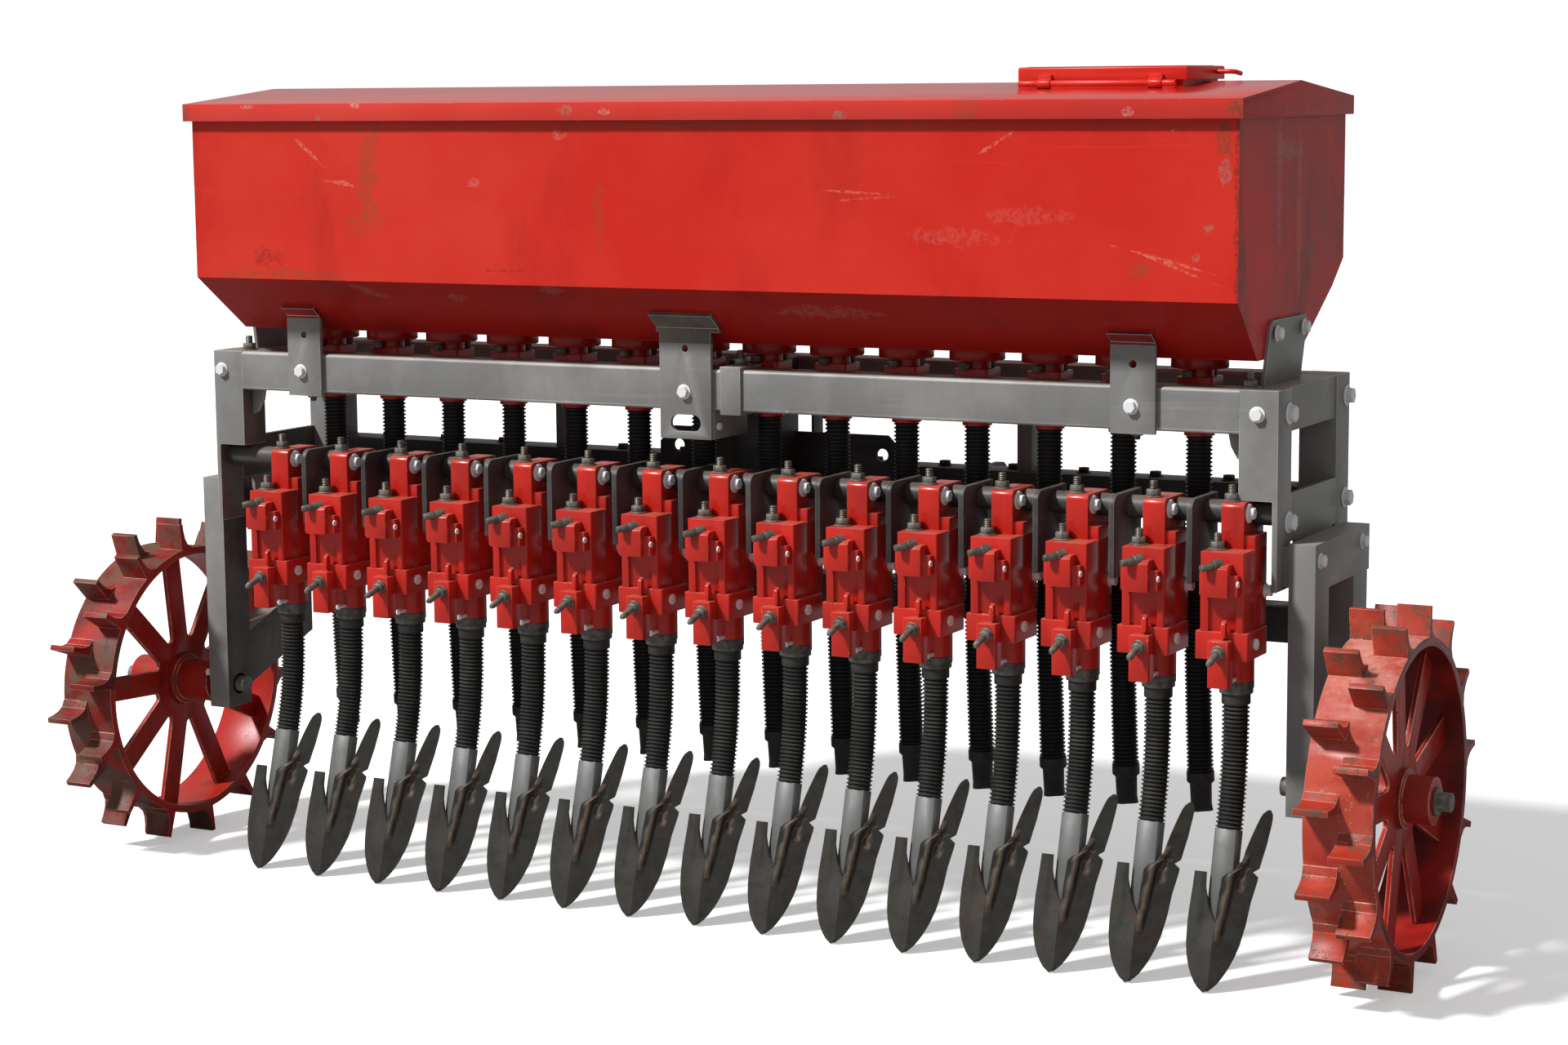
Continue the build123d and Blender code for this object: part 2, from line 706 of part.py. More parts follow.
def centre_bracket():
    """Slotted plate at the middle of the front rail, with its wide bent flap and its cheek."""
    x, half = centre_bracket_x, centre_bracket_width / 2
    y0, y1 = frame_front - bracket_plate, frame_front
    plate = slanted_plate(x - half, x + half, centre_bracket_bottom, centre_bracket_reach)
    flap = slanted_plate(*centre_flap, bracket_bottom, centre_bracket_reach)
    flap &= block(*centre_flap, y0 - 2 * centre_bracket_reach, y1, slant_z(y1) - bracket_plate, ridge_top)
    slot = block(x - slot_half_run, x + slot_half_run, y0 - 1, y1 + 1, slot_z - slot_r, slot_z + slot_r)
    for end in (-slot_half_run, slot_half_run):
        slot += bar_y(slot_r, y0 - 1, y1 + 1, x + end, slot_z)
    side = block(*cheek, y1, y1 + cheek_depth, centre_bracket_bottom, rail_top - rail_height)
    return plate + flap + side - slot - bracket_bore(x)


def rail_sleeve():
    """Clamp sleeve round the front rail beside the centre bracket."""
    y0, y1, low = frame_front, frame_front + rail_depth, rail_top - rail_height
    outer = block(*sleeve_x, y0 - sleeve_wall, y1 + sleeve_wall, low - sleeve_wall, rail_top + sleeve_wall)
    return outer - block(sleeve_x[0] - 1, sleeve_x[1] + 1, y0, y1, low, rail_top)


def end_mount():
    """Plate on the side rail that follows the lean of the hopper's end panel and holds it."""
    lean = hopper_end_taper / (front_kink - hopper_floor_z + 1)

    def panel_x(z):
        return hopper_half - hopper_end_taper + (z - hopper_floor_z + 1) * lean

    points = [(panel_x(z) + out, z) for z, out in ((rail_top, 0), (rail_top, end_mount_plate),
                                                   (end_mount_top, end_mount_plate), (end_mount_top, 0))]
    plate = profile_y(points, *end_mount_y)
    return fillet(plate.edges().filter_by(Axis.X).group_by(Axis.Z)[-1], end_mount_round)


# ================================================================ seed drops
def metering_cup(x):
    """Seed cup under the hopper floor: a disc, a neck, a square base and the outlet for its hose."""
    neck_top = hopper_floor_z - cup_disc[1]
    base_top = neck_top - cup_neck[1]
    base_bottom = base_top - cup_base_height
    half = cup_base_half
    cup = block(x - half, x + half, drop_y - half, drop_y + half, base_bottom, base_top)
    cup = fillet(cup.edges().filter_by(Axis.Z), cup_base_round)
    cup += bar_z(cup_disc[0], neck_top, hopper_floor_z, x, drop_y)
    cup += bar_z(cup_neck[0], base_top, neck_top, x, drop_y)
    cup += bar_z(cup_outlet_r, cup_bottom, base_bottom, x, drop_y)
    return cup - bar_z(cup_bore, cup_bottom - 1, hopper_floor_z + 1, x, drop_y)


# A drop hose hangs from its cup; columns: x and y from the cup's axis, z
drop_route = [(0, 0, cup_bottom), (0, 0, 655), (-2, 3, 450), (4, 7, boot_top)]


def drop_points(x):
    return [Vector(x + dx, drop_y + dy, z) for dx, dy, z in drop_route]


def hose_boot(x):
    """Rubber outlet on the free end of a drop hose."""
    end, before = drop_points(x)[-1], drop_points(x)[-2]
    length = boot_top - boot_bottom
    outline = [(14, 0), (24, 0), (24, 15), (19, 19), (18, length), (14, length)]
    face = make_face(Plane.XZ * Polyline(*outline, close=True))
    boot = revolve(face, Axis.Z)
    return Plane(origin=end, z_dir=end - before) * boot


# ================================================================ wheel carriers
carrier_in = frame_half + carrier_gap
carrier_out = carrier_in + carrier_width


def carrier():
    """Box-section leg, rail, rear leg and brace outside the side plate, with a window between."""
    rise = math.tan(math.radians(brace_rise))
    y0, y1 = carrier_front, carrier_back
    leg_back, rear_out = y0 + carrier_leg, y1 - rear_leg_set
    rear_in = rear_out - rear_leg
    rail_low = carrier_top - carrier_rail
    outline = [(y0, carrier_bottom), (y0, carrier_top), (y1, carrier_top), (y1, rail_low),
               (rear_out, rail_low), (rear_out, brace_foot + (rear_out - leg_back) * rise),
               (leg_back, brace_foot), (leg_back, carrier_bottom)]
    high = brace_foot + brace_height
    window = [(leg_back, rail_low), (rear_in, rail_low), (rear_in, high + (rear_in - leg_back) * rise),
              (leg_back, high)]
    body = profile_x(outline, carrier_in, carrier_out)
    body -= profile_x(window, carrier_in - 1, carrier_out + 1)
    w = carrier_wall
    slant = w / math.cos(math.radians(brace_rise))
    xs = (carrier_in + w, carrier_out - w)
    body -= block(*xs, y0 + w, leg_back - w, carrier_bottom, carrier_top - w)
    body -= block(*xs, y0 + w, y1 - w, rail_low + w, carrier_top - w)
    inner_brace = [(leg_back - w, brace_foot + slant), (leg_back - w, high - slant),
                   (rear_in + w, high + (rear_in - leg_back) * rise - slant), (rear_in + w, rail_low + w),
                   (rear_out - w, rail_low + w),
                   (rear_out - w, brace_foot + (rear_out - leg_back) * rise + slant)]
    body -= profile_x(inner_brace, *xs)
    pad_z = (rail_low + pad_inset, carrier_top - pad_inset)
    pads = block(frame_half, carrier_in, y0 + 3, front_post_back, *pad_z)
    back = rear_post_front
    pads += block(frame_half, carrier_in, back - rear_pad[0], back - rear_pad[1], *pad_z)
    bore = bar_x(axle_r + axle_seat_fit, carrier_in - 1, carrier_out + 1, axle_y, axle_z)
    return body + pads - bore


# ================================================================ wheels and axles
lug_corner = math.atan2(lug_plate / 2, rim_radius + lug_height)
# the wheel stands on the corners of its two lowest cleats
axle_z = (math.hypot(rim_radius + lug_height, lug_plate / 2)
          * math.cos(math.pi / (2 * lugs_per_row) - lug_corner))
hub_in_x = carrier_out + collar_thick + axle_play
rim_inner_x = carrier_out + rim_gap
hub_out_x = rim_inner_x + rim_width + hub_overhang


def axle():
    """Stub axle through the foot of the carrier, with the collars that keep the hub."""
    shaft = bar_x(axle_r, carrier_in - 16, hub_out_x + 24, axle_y, axle_z)
    inner = bar_x(24, carrier_out, carrier_out + collar_thick, axle_y, axle_z)
    outer = bar_x(21, hub_out_x + axle_play, hub_out_x + axle_play + 5, axle_y, axle_z)
    return shaft + inner + outer


def lug():
    """Cleat on top of the rim at the wheel's centre line: an upright plate with a hollow root behind."""
    foot, half = rim_radius - 2, lug_plate / 2
    points = [(-half, foot), (-half, rim_radius + lug_height), (half, rim_radius + lug_height)]
    points += [(y, rim_radius + rise) for y, rise in lug_root]
    return profile_x(points + [(lug_root[-1][0], foot)], 0, lug_length)


def wheel_rim():
    """Rim band with two staggered rows of cleats, its axis on X and its inboard edge at x = 0."""
    band = bar_x(rim_radius, 0, rim_width, 0, 0) - bar_x(rim_radius - rim_wall, -1, rim_width + 1, 0, 0)
    step = 360 / lugs_per_row
    for i in range(lugs_per_row):
        band += Rot(step * (i + 0.25), 0, 0) * lug()
        band += Pos(rim_width - lug_length, 0, 0) * Rot(step * (i - 0.25), 0, 0) * lug()
    return band


def wheel_spokes():
    """Flat spoke plate inside the rim, from x = 0."""
    plate = bar_x(hub_disc_r, 0, spoke_plate, 0, 0)
    outer = rim_radius - rim_wall
    arm = [(-spoke_root / 2, 0), (-spoke_root / 2, hub_disc_r), (-spoke_tip / 2, outer - 1),
           (-spoke_tip / 2, outer + 2), (spoke_tip / 2, outer + 2), (spoke_tip / 2, outer - 1),
           (spoke_root / 2, hub_disc_r), (spoke_root / 2, 0)]
    spoke = profile_x(arm, 0, spoke_plate)
    for i in range(spoke_count):
        plate += Rot(360 / spoke_count * i + spoke_lean, 0, 0) * spoke
    return (plate & bar_x(outer, -1, spoke_plate + 1, 0, 0)) - bar_x(hub_r, -1, spoke_plate + 1, 0, 0)


def wheel_hub(flange_x):
    """Hub sleeve in place on the right-hand wheel, with a ring that backs the spoke plate at flange_x."""
    sleeve = bar_x(hub_r, hub_in_x, hub_out_x, 0, 0)
    flange = bar_x(hub_flange[0], flange_x, flange_x + hub_flange[1], 0, 0)
    return sleeve + flange - bar_x(axle_r + axle_fit, hub_in_x - 1, hub_out_x + 1, 0, 0)


# ================================================================ hitch
def hitch_column():
    """Box column between the rear beam and the rear top rail, in front of both."""
    wall, back = 3.0, rear_face - rail_depth
    top = rail_top - rail_height
    column = block(-column_half, column_half, column_front, hitch_plate_y, column_bottom, top)
    column += block(-column_half, column_half, column_front, back, hitch_plate_top, rail_top)
    column -= block(-column_half + wall, column_half - wall, column_front + wall, hitch_plate_y - wall,
                    column_bottom - 1, rail_top - wall)
    return column


def hitch_plate():
    """Two-hole plate on the front of the rear beam."""
    z0 = rear_beam_top - rear_beam_height
    y0, y1 = hitch_plate_y, hitch_plate_y + hitch_plate_thick
    w, top = hitch_plate_half, hitch_plate_top
    points = [(-w, z0), (-w, top - 26), (-w + 26, top), (w - 26, top), (w, top - 26), (w, z0)]
    plate = profile_y(points, y0, y1)
    for x in (-hitch_hole_x, hitch_hole_x):
        plate -= bar_y(hitch_hole_r, y0 - 1, y1 + 1, x, hitch_hole_z)
    return plate


def upright():
    """Angle post between the rear beam and the rear top rail, its corner outwards and to the back."""
    x0, x1 = upright_x - upright_width / 2, upright_x + upright_width / 2
    y0 = rear_face - rail_depth / 2 - upright_depth / 2
    z0, z1 = rear_beam_top, rail_top - rail_height
    face = block(x0, x1, y0, y0 + upright_wall, z0, z1)
    return face + block(x1 - upright_wall, x1, y0, y0 + upright_depth, z0, z1)


def lower_hitch_ear():
    """Plate welded between the flanges of the rear beam that carries a lower pin."""
    y0, y1 = rear_face - rail_depth + tube_wall, rear_face + lower_pin_reach + 28
    z0, z1 = rear_beam_top - rear_beam_height + tube_wall, rear_beam_top - tube_wall
    ear_plate = block(lower_pin_x - hitch_ear, lower_pin_x, y0, y1, z0, z1)
    ear_plate = fillet(ear_plate.edges().filter_by(Axis.X).group_by(Axis.Y)[-1], 24)
    return ear_plate - bar_x(lower_pin_root_r + pin_seat_fit, lower_pin_x - 20, lower_pin_x + 9,
                             rear_face + lower_pin_reach, lower_pin_z)


def lower_pin():
    """Lower hitch pin, welded in its ear and free at its outboard end."""
    y = rear_face + lower_pin_reach
    pin = bar_x(lower_pin_r, lower_pin_x, lower_pin_x + lower_pin_length, y, lower_pin_z)
    pin = chamfer(pin.edges().group_by(Axis.X)[-1], 3)
    root = bar_x(lower_pin_root_r, lower_pin_x - hitch_ear - 12, lower_pin_x, y, lower_pin_z)
    collar = bar_x(lower_pin_root_r + 5, lower_pin_x - hitch_ear - 6, lower_pin_x - hitch_ear, y, lower_pin_z)
    return pin + root + collar


def mast_side():
    """One of the two plates behind the hopper that hold the top link."""
    y, top = hopper_rear + mast_set, lower_pin_z + mast_height
    clear = hopper_rear + 12
    points = [(rear_face, rear_beam_top - rear_beam_height), (rear_face, rail_top),
              (clear, rear_kink - 12), (clear, top + 12), (clear + 8, top + 20), (y + 12, top + 20),
              (y + 20, top + 12), (y + 20, top - 18), (clear + 22, rear_kink - 30),
              (rear_face + 34, rail_top - 20), (rear_face + 34, rear_beam_top)]
    x0 = mast_gap / 2
    plate = profile_x(points, x0, x0 + mast_plate)
    return plate - bar_x(top_pin_r, x0 - 1, x0 + mast_plate + 1, y, top)


def on_wheel(solid, offset=0.0):
    """Move a piece made about the X axis to the right-hand axle."""
    return Pos(offset, axle_y, axle_z) * solid


# ================================================================ write the nodes
save("top_rail_front", top_rail(frame_front))
save("top_rail_rear", top_rail(rear_face - rail_depth))
save("side_top_rails", both_sides(side_top_rail()))
save("front_posts", both_sides(front_post()))
save("rear_posts", both_sides(rear_post()))
save("side_lower_plates", both_sides(side_lower_plate()))
save("rear_beam", rear_beam())
save("tool_beam", tool_beam())
save("beam_hangers", both_sides(beam_hanger()))
save("corner_gussets", both_sides(corner_gusset()))
save("cross_tube", cross_tube())
save("unit_ears", along_rows(ear(0)))
save("unit_blocks", along_rows(unit_block(0)))
save("unit_locks", along_rows(unit_lock(0)))
save("unit_collars", along_rows(unit_collar(0)))
save("unit_latches", along_rows(unit_latch(0)))
save("hose_clamps", along_rows(hose_clamp(0)))
save("row_hoses", [hose(hose_points(x)) for x in row_xs()])
save("opener_tubes", along_rows(opener_tube()))
save("opener_shovels", along_rows(shovel()))
save("row_plates", [row_plate(x - row_pitch / 2) for x in row_xs()[1:]])
front_panel, rear_panel, floor_panel, end_panels = hopper_panels()
save("hopper_front_panel", front_panel)
save("hopper_rear_panel", rear_panel)
save("hopper_floor", floor_panel)
save("hopper_end_panels", end_panels)
save("hopper_roof", hopper_roof())
save("filler_curb", filler_curb())
save("filler_lid", filler_lid())
save("lid_hinge", lid_hinge())
save("lid_handle", lid_handle())
save("hopper_brackets", [hopper_bracket(x, width) for x, width in front_brackets])
save("centre_bracket", centre_bracket())
save("rail_sleeve", rail_sleeve())
save("hopper_end_mounts", both_sides(end_mount()))
save("metering_cups", [metering_cup(x) for x in drop_xs()])
save("drop_hoses", [hose(drop_points(x)) for x in drop_xs()])
save("hose_boots", [hose_boot(x) for x in drop_xs()])
save("wheel_carriers", both_sides(carrier()))
save("axles", both_sides(axle()))
save("right_wheel_rim", on_wheel(wheel_rim(), rim_inner_x))
save("left_wheel_rim", mirror_x(on_wheel(wheel_rim(), rim_inner_x)))
# both wheels are one casting: on either side the plate is set in from the rim's left-hand edge
right_plate_x = rim_inner_x + spoke_set
left_plate_x = rim_inner_x + rim_width - spoke_set - spoke_plate
save("right_wheel_spokes", on_wheel(wheel_spokes(), right_plate_x))
save("left_wheel_spokes", mirror_x(on_wheel(wheel_spokes(), left_plate_x)))
save("right_wheel_hub", on_wheel(wheel_hub(right_plate_x + spoke_plate)))
save("left_wheel_hub", mirror_x(on_wheel(wheel_hub(left_plate_x - hub_flange[1]))))
save("hitch_column", hitch_column())
save("hitch_plate", hitch_plate())
save("rear_uprights", both_sides(upright()))
save("lower_hitch_ears", both_sides(lower_hitch_ear()))
save("lower_hitch_pins", both_sides(lower_pin()))
save("mast_plates", both_sides(mast_side()))

for name, points in (("row hose", hose_points(0)), ("drop hose", drop_points(0))):
    print(name, "bend radii", [round(r, 1) for r in bend_radii(points)], "mm")
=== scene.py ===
import json
import math

import bmesh
import bpy
from mathutils import Matrix, Vector
from mathutils import noise as pattern

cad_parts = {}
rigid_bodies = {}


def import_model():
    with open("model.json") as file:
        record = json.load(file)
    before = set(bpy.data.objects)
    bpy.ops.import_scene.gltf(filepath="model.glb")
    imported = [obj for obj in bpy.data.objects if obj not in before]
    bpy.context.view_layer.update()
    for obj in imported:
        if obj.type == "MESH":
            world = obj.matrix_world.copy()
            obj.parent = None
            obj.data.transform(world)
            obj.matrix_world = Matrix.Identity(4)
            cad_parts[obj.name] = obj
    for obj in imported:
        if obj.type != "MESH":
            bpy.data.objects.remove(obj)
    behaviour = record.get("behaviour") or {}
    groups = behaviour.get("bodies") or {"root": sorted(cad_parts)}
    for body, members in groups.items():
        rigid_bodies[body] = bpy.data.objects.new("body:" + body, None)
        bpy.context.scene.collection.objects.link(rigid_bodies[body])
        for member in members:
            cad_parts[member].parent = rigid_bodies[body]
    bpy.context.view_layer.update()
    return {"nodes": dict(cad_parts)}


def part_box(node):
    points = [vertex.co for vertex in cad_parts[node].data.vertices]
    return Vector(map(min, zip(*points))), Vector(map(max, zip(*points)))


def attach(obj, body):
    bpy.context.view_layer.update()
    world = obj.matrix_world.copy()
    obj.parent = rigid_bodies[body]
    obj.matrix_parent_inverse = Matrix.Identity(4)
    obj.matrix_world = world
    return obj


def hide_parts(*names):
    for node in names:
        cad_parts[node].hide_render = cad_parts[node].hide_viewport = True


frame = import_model()
print("frame loaded:", len(frame["nodes"]), "nodes")


def deselectAll():
    for each in bpy.context.selected_objects:
        each.select_set(False)


def pick(*pieces):
    deselectAll()
    for each in pieces:
        each.select_set(True)
    bpy.context.view_layer.objects.active = pieces[0]


def inEditMode(piece, *steps):
    # each step is called in edit mode, with face selection on
    pick(piece)
    bpy.ops.object.mode_set(mode="EDIT")
    bpy.context.tool_settings.mesh_select_mode = (False, False, True)
    for step in steps:
        step()
    bpy.ops.object.mode_set(mode="OBJECT")


def selectWhere(piece, test, kind="faces"):
    # selects the faces or edges that pass the test
    bpy.ops.mesh.select_all(action="DESELECT")
    mesh = bmesh.from_edit_mesh(piece.data)
    bpy.context.tool_settings.mesh_select_mode = (False, kind == "edges", kind == "faces")
    for part in getattr(mesh, kind):
        part.select_set(test(part))
    mesh.select_flush_mode()
    bmesh.update_edit_mesh(piece.data)


def cutAcross(piece, axis, places, **options):
    # cuts every face of the piece on planes square to an axis
    normal = [0, 0, 0]
    normal[axis] = 1

    def cut():
        for place in places:
            selectAll()
            point = [0, 0, 0]
            point[axis] = place
            bpy.ops.mesh.bisect(plane_co=point, plane_no=normal, **options)

    inEditMode(piece, cut)


def modify(piece, kind, **settings):
    # adds a modifier with its settings and applies it
    modifier = piece.modifiers.new(kind, kind)
    for name, value in settings.items():
        setattr(modifier, name, value)
    pick(piece)
    bpy.ops.object.modifier_apply(modifier=modifier.name)


# the finish in edgeSlot goes on the bevel faces; where it is a lighter edge finish, that is partly wear and
# partly painted highlight
def bevelEdges(piece, width, segments=2, angle=30, edgeSlot=-1):
    modify(piece, "BEVEL", width=width, segments=segments, limit_method="ANGLE",
           angle_limit=math.radians(angle), material=edgeSlot)


def cutWith(piece, cutter):
    modify(piece, "BOOLEAN", operation="DIFFERENCE", solver="EXACT", object=cutter)
    bpy.data.objects.remove(cutter)


def smooth(piece, angle=35):
    pick(piece)
    bpy.ops.object.shade_smooth_by_angle(angle=math.radians(angle))


def selectAll():
    bpy.ops.mesh.select_all(action="SELECT")


def facesSideways(face):
    return abs(face.normal.x) > 0.95


def ramp(value, start, width):
    # 0 up to start, 1 from start + width on
    return min(max((value - start) / width, 0), 1)


def baked(piece):
    # put the object's place into its mesh
    bpy.context.view_layer.update()
    piece.data.transform(piece.matrix_world)
    piece.matrix_world = Matrix.Identity(4)
    return piece


def added(name, primitive, **settings):
    # a new primitive, with nothing else selected
    deselectAll()
    primitive(**settings)
    piece = bpy.context.object
    piece.name = name
    return piece


def boxPiece(name, low, high):
    middle = (Vector(low) + Vector(high)) / 2
    piece = added(name, bpy.ops.mesh.primitive_cube_add, size=1, location=middle)
    piece.scale = Vector(high) - Vector(low)
    return baked(piece)


def roundPiece(name, radius, low, high, sides, tip=None):
    # a cylinder, or a cone where tip is given, standing on Z from low to high
    top = radius if tip is None else tip
    return baked(added(name, bpy.ops.mesh.primitive_cone_add, radius1=radius, radius2=top, depth=high - low,
                       vertices=sides, location=(0, 0, (low + high) / 2)))


def addFinishes(piece, *finishes):
    for finish in finishes:
        piece.data.materials.append(finish)


def paintFaces(piece, rule):
    # the rule gives each face the number of its finish
    for face in piece.data.polygons:
        face.material_index = rule(face)


def copyOf(piece, place):
    # a copy with a mesh of its own, moved by a matrix
    twin = piece.copy()
    twin.data = piece.data.copy()
    bpy.context.scene.collection.objects.link(twin)
    twin.data.transform(place)
    return twin


def joined(pieces, name):
    pick(*pieces)
    if len(pieces) > 1:
        bpy.ops.object.join()
    pieces[0].name = name
    return pieces[0]


def settle(piece, body, finishes=(), nodes=()):
    # finishes, body and the nodes that the piece stands for
    if finishes:
        piece.data.materials.clear()
        addFinishes(piece, *finishes)
    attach(piece, body)
    if nodes:
        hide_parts(*nodes)
    return piece


def along(direction, spot):
    # stands a piece made along +Z on a spot, pointing in a direction
    return Matrix.Translation(spot) @ Vector(direction).to_track_quat("Z", "Y").to_matrix().to_4x4()


def between(table, at, column):
    # a column of a table, read between its rows
    for low, high in zip(table, table[1:]):
        if at <= high[0]:
            share = (at - low[0]) / (high[0] - low[0])
            return low[column] + share * (high[column] - low[column])
    return table[-1][column]


cameraSet = {
    "spot": (2.4011, -4.4019, 1.3026), "turn": 0.4838, "tilt": -0.138, "roll": -0.0088,
    "lens": 72.607, "sensor": 36,
}
lightSet = {
    "sunFrom": (-0.42, -0.53, 0.74), "sunPower": 4.0, "sunWidth": 6.0,
    # the surroundings, as diffuse rays, glossy rays and the camera see them
    "skyPower": 0.33, "shineBack": 0.34, "backPower": 1.0, "white": (1, 1, 1, 1),
    "floorColour": (0.8, 0.8, 0.8, 1), "floorBounce": (0.3, 0.3, 0.3, 1), "floorGlow": 0.37,
    "floorSize": 60.0,
}


def makeCamera():
    camera = bpy.data.objects.new("camera", bpy.data.cameras.new("camera"))
    bpy.context.scene.collection.objects.link(camera)
    camera.data.sensor_width = cameraSet["sensor"]
    camera.data.lens = cameraSet["lens"]
    camera.matrix_world = (
        Matrix.Translation(cameraSet["spot"])
        @ Matrix.Rotation(cameraSet["turn"], 4, "Z")
        @ Matrix.Rotation(math.pi / 2 + cameraSet["tilt"], 4, "X")
        @ Matrix.Rotation(cameraSet["roll"], 4, "Z")
    )
    bpy.context.scene.camera = camera


def isOutput(value):
    return isinstance(value, bpy.types.NodeSocket)


def put(tree, kind, inputs=None, **settings):
    # a node with its settings, its values and its links
    node = tree.nodes.new(kind)
    for name, value in settings.items():
        setattr(node, name, value)
    for name, value in (inputs or {}).items():
        if isOutput(value):
            tree.links.new(value, node.inputs[name])
        else:
            node.inputs[name].default_value = value
    return node


def sky(tree, key):
    values = {"Color": lightSet["white"], "Strength": lightSet[key]}
    return put(tree, "ShaderNodeBackground", values).outputs[0]


def either(share, first, second):
    return put(share.id_data, "ShaderNodeMixShader", {0: share, 1: first, 2: second}).outputs[0]


def seenDirectly(rays):
    # 1 for rays that come from the camera or through something clear
    values = {0: rays.outputs["Is Camera Ray"], 1: rays.outputs["Is Transmission Ray"]}
    return put(rays.id_data, "ShaderNodeMath", values, operation="ADD", use_clamp=True).outputs[0]


def makeLight():
    scene = bpy.context.scene
    scene.view_settings.view_transform = "Standard"
    world = bpy.data.worlds.new("pale sky")
    scene.world = world
    world.use_nodes = True
    tree = world.node_tree
    tree.nodes.clear()
    rays = put(tree, "ShaderNodeLightPath")
    around = either(rays.outputs["Is Glossy Ray"], sky(tree, "skyPower"), sky(tree, "shineBack"))
    around = either(seenDirectly(rays), around, sky(tree, "backPower"))
    put(tree, "ShaderNodeOutputWorld", {"Surface": around})
    sun = bpy.data.objects.new("sun", bpy.data.lights.new("sun", "SUN"))
    scene.collection.objects.link(sun)
    sun.data.energy = lightSet["sunPower"]
    sun.data.angle = math.radians(lightSet["sunWidth"])
    sun.rotation_euler = Vector(lightSet["sunFrom"]).to_track_quat("Z", "Y").to_euler()


def makeFloor():
    floor = added("floor", bpy.ops.mesh.primitive_plane_add, size=lightSet["floorSize"])
    finish = bpy.data.materials.new("pale floor")
    finish.use_nodes = True
    tree = finish.node_tree
    tree.nodes.clear()
    rays = put(tree, "ShaderNodeLightPath")
    seen = put(tree, "ShaderNodeBsdfDiffuse", {"Color": lightSet["floorColour"]})
    glow = put(tree, "ShaderNodeEmission", {"Color": lightSet["white"], "Strength": lightSet["floorGlow"]})
    bright = put(tree, "ShaderNodeAddShader", {0: seen.outputs[0], 1: glow.outputs[0]})
    bounce = put(tree, "ShaderNodeBsdfDiffuse", {"Color": lightSet["floorBounce"]})
    surface = either(seenDirectly(rays), bounce.outputs[0], bright.outputs[0])
    put(tree, "ShaderNodeOutputMaterial", {"Surface": surface})
    addFinishes(floor, finish)


makeCamera()
makeLight()
makeFloor()
print("camera, light and floor ready")


def newFinish(name):
    finish = bpy.data.materials.new(name)
    finish.use_nodes = True
    tree = finish.node_tree
    place = put(tree, "ShaderNodeTexCoord").outputs["Object"]
    return finish, tree.nodes["Principled BSDF"], place


def noise(place, scale, detail, rough, stretch=None, twist=0.0):
    if stretch:
        place = put(place.id_data, "ShaderNodeMapping", {"Vector": place, "Scale": stretch}).outputs[0]
    values = {"Vector": place, "Scale": scale, "Detail": detail, "Roughness": rough, "Distortion": twist}
    return put(place.id_data, "ShaderNodeTexNoise", values).outputs["Fac"]


def band(value, low, high, top=1.0):
    # 0 at low, up to top at high
    values = {"Value": value, "From Min": low, "From Max": high, "To Min": 0.0, "To Max": top}
    return put(value.id_data, "ShaderNodeMapRange", values, clamp=True).outputs[0]


def calc(how, a, b):
    tree = (a if isOutput(a) else b).id_data
    return put(tree, "ShaderNodeMath", {0: a, 1: b}, operation=how).outputs[0]


def times(a, b):
    return calc("MULTIPLY", a, b)


def plus(a, b):
    return calc("ADD", a, b)


def tint(share, a, b):
    # from a to b by the share; each is a colour's name or an output
    node = put(share.id_data, "ShaderNodeMix", None, data_type="RGBA")
    for socket, value in zip((node.inputs[0], node.inputs[6], node.inputs[7]), (share, a, b)):
        if isOutput(value):
            connect(value, socket)
        else:
            socket.default_value = (*paint[value], 1)
    return node.outputs[2]


def connect(output, socket):
    output.id_data.links.new(output, socket)


def bump(height, distance, strength, normal=None):
    values = {"Height": height, "Distance": distance, "Strength": strength}
    if normal:
        values["Normal"] = normal
    return put(height.id_data, "ShaderNodeBump", values).outputs[0]


def upward(tree):
    # how far a face looks up
    normal = put(tree, "ShaderNodeNewGeometry").outputs["Normal"]
    return put(tree, "ShaderNodeSeparateXYZ", {"Vector": normal}).outputs["Z"]


def spot(place, ragged, centre, reach, tilt=0.0):
    # 1 inside a ragged oval patch, 0 outside
    tree = place.id_data
    values = {"Vector": place, "Location": centre, "Rotation": (0, math.radians(tilt), 0), "Scale": reach}
    local = put(tree, "ShaderNodeMapping", values, vector_type="TEXTURE").outputs[0]
    length = put(tree, "ShaderNodeVectorMath", {"Vector": local}, operation="LENGTH").outputs["Value"]
    return band(plus(length, ragged), 1.1, 0.75)


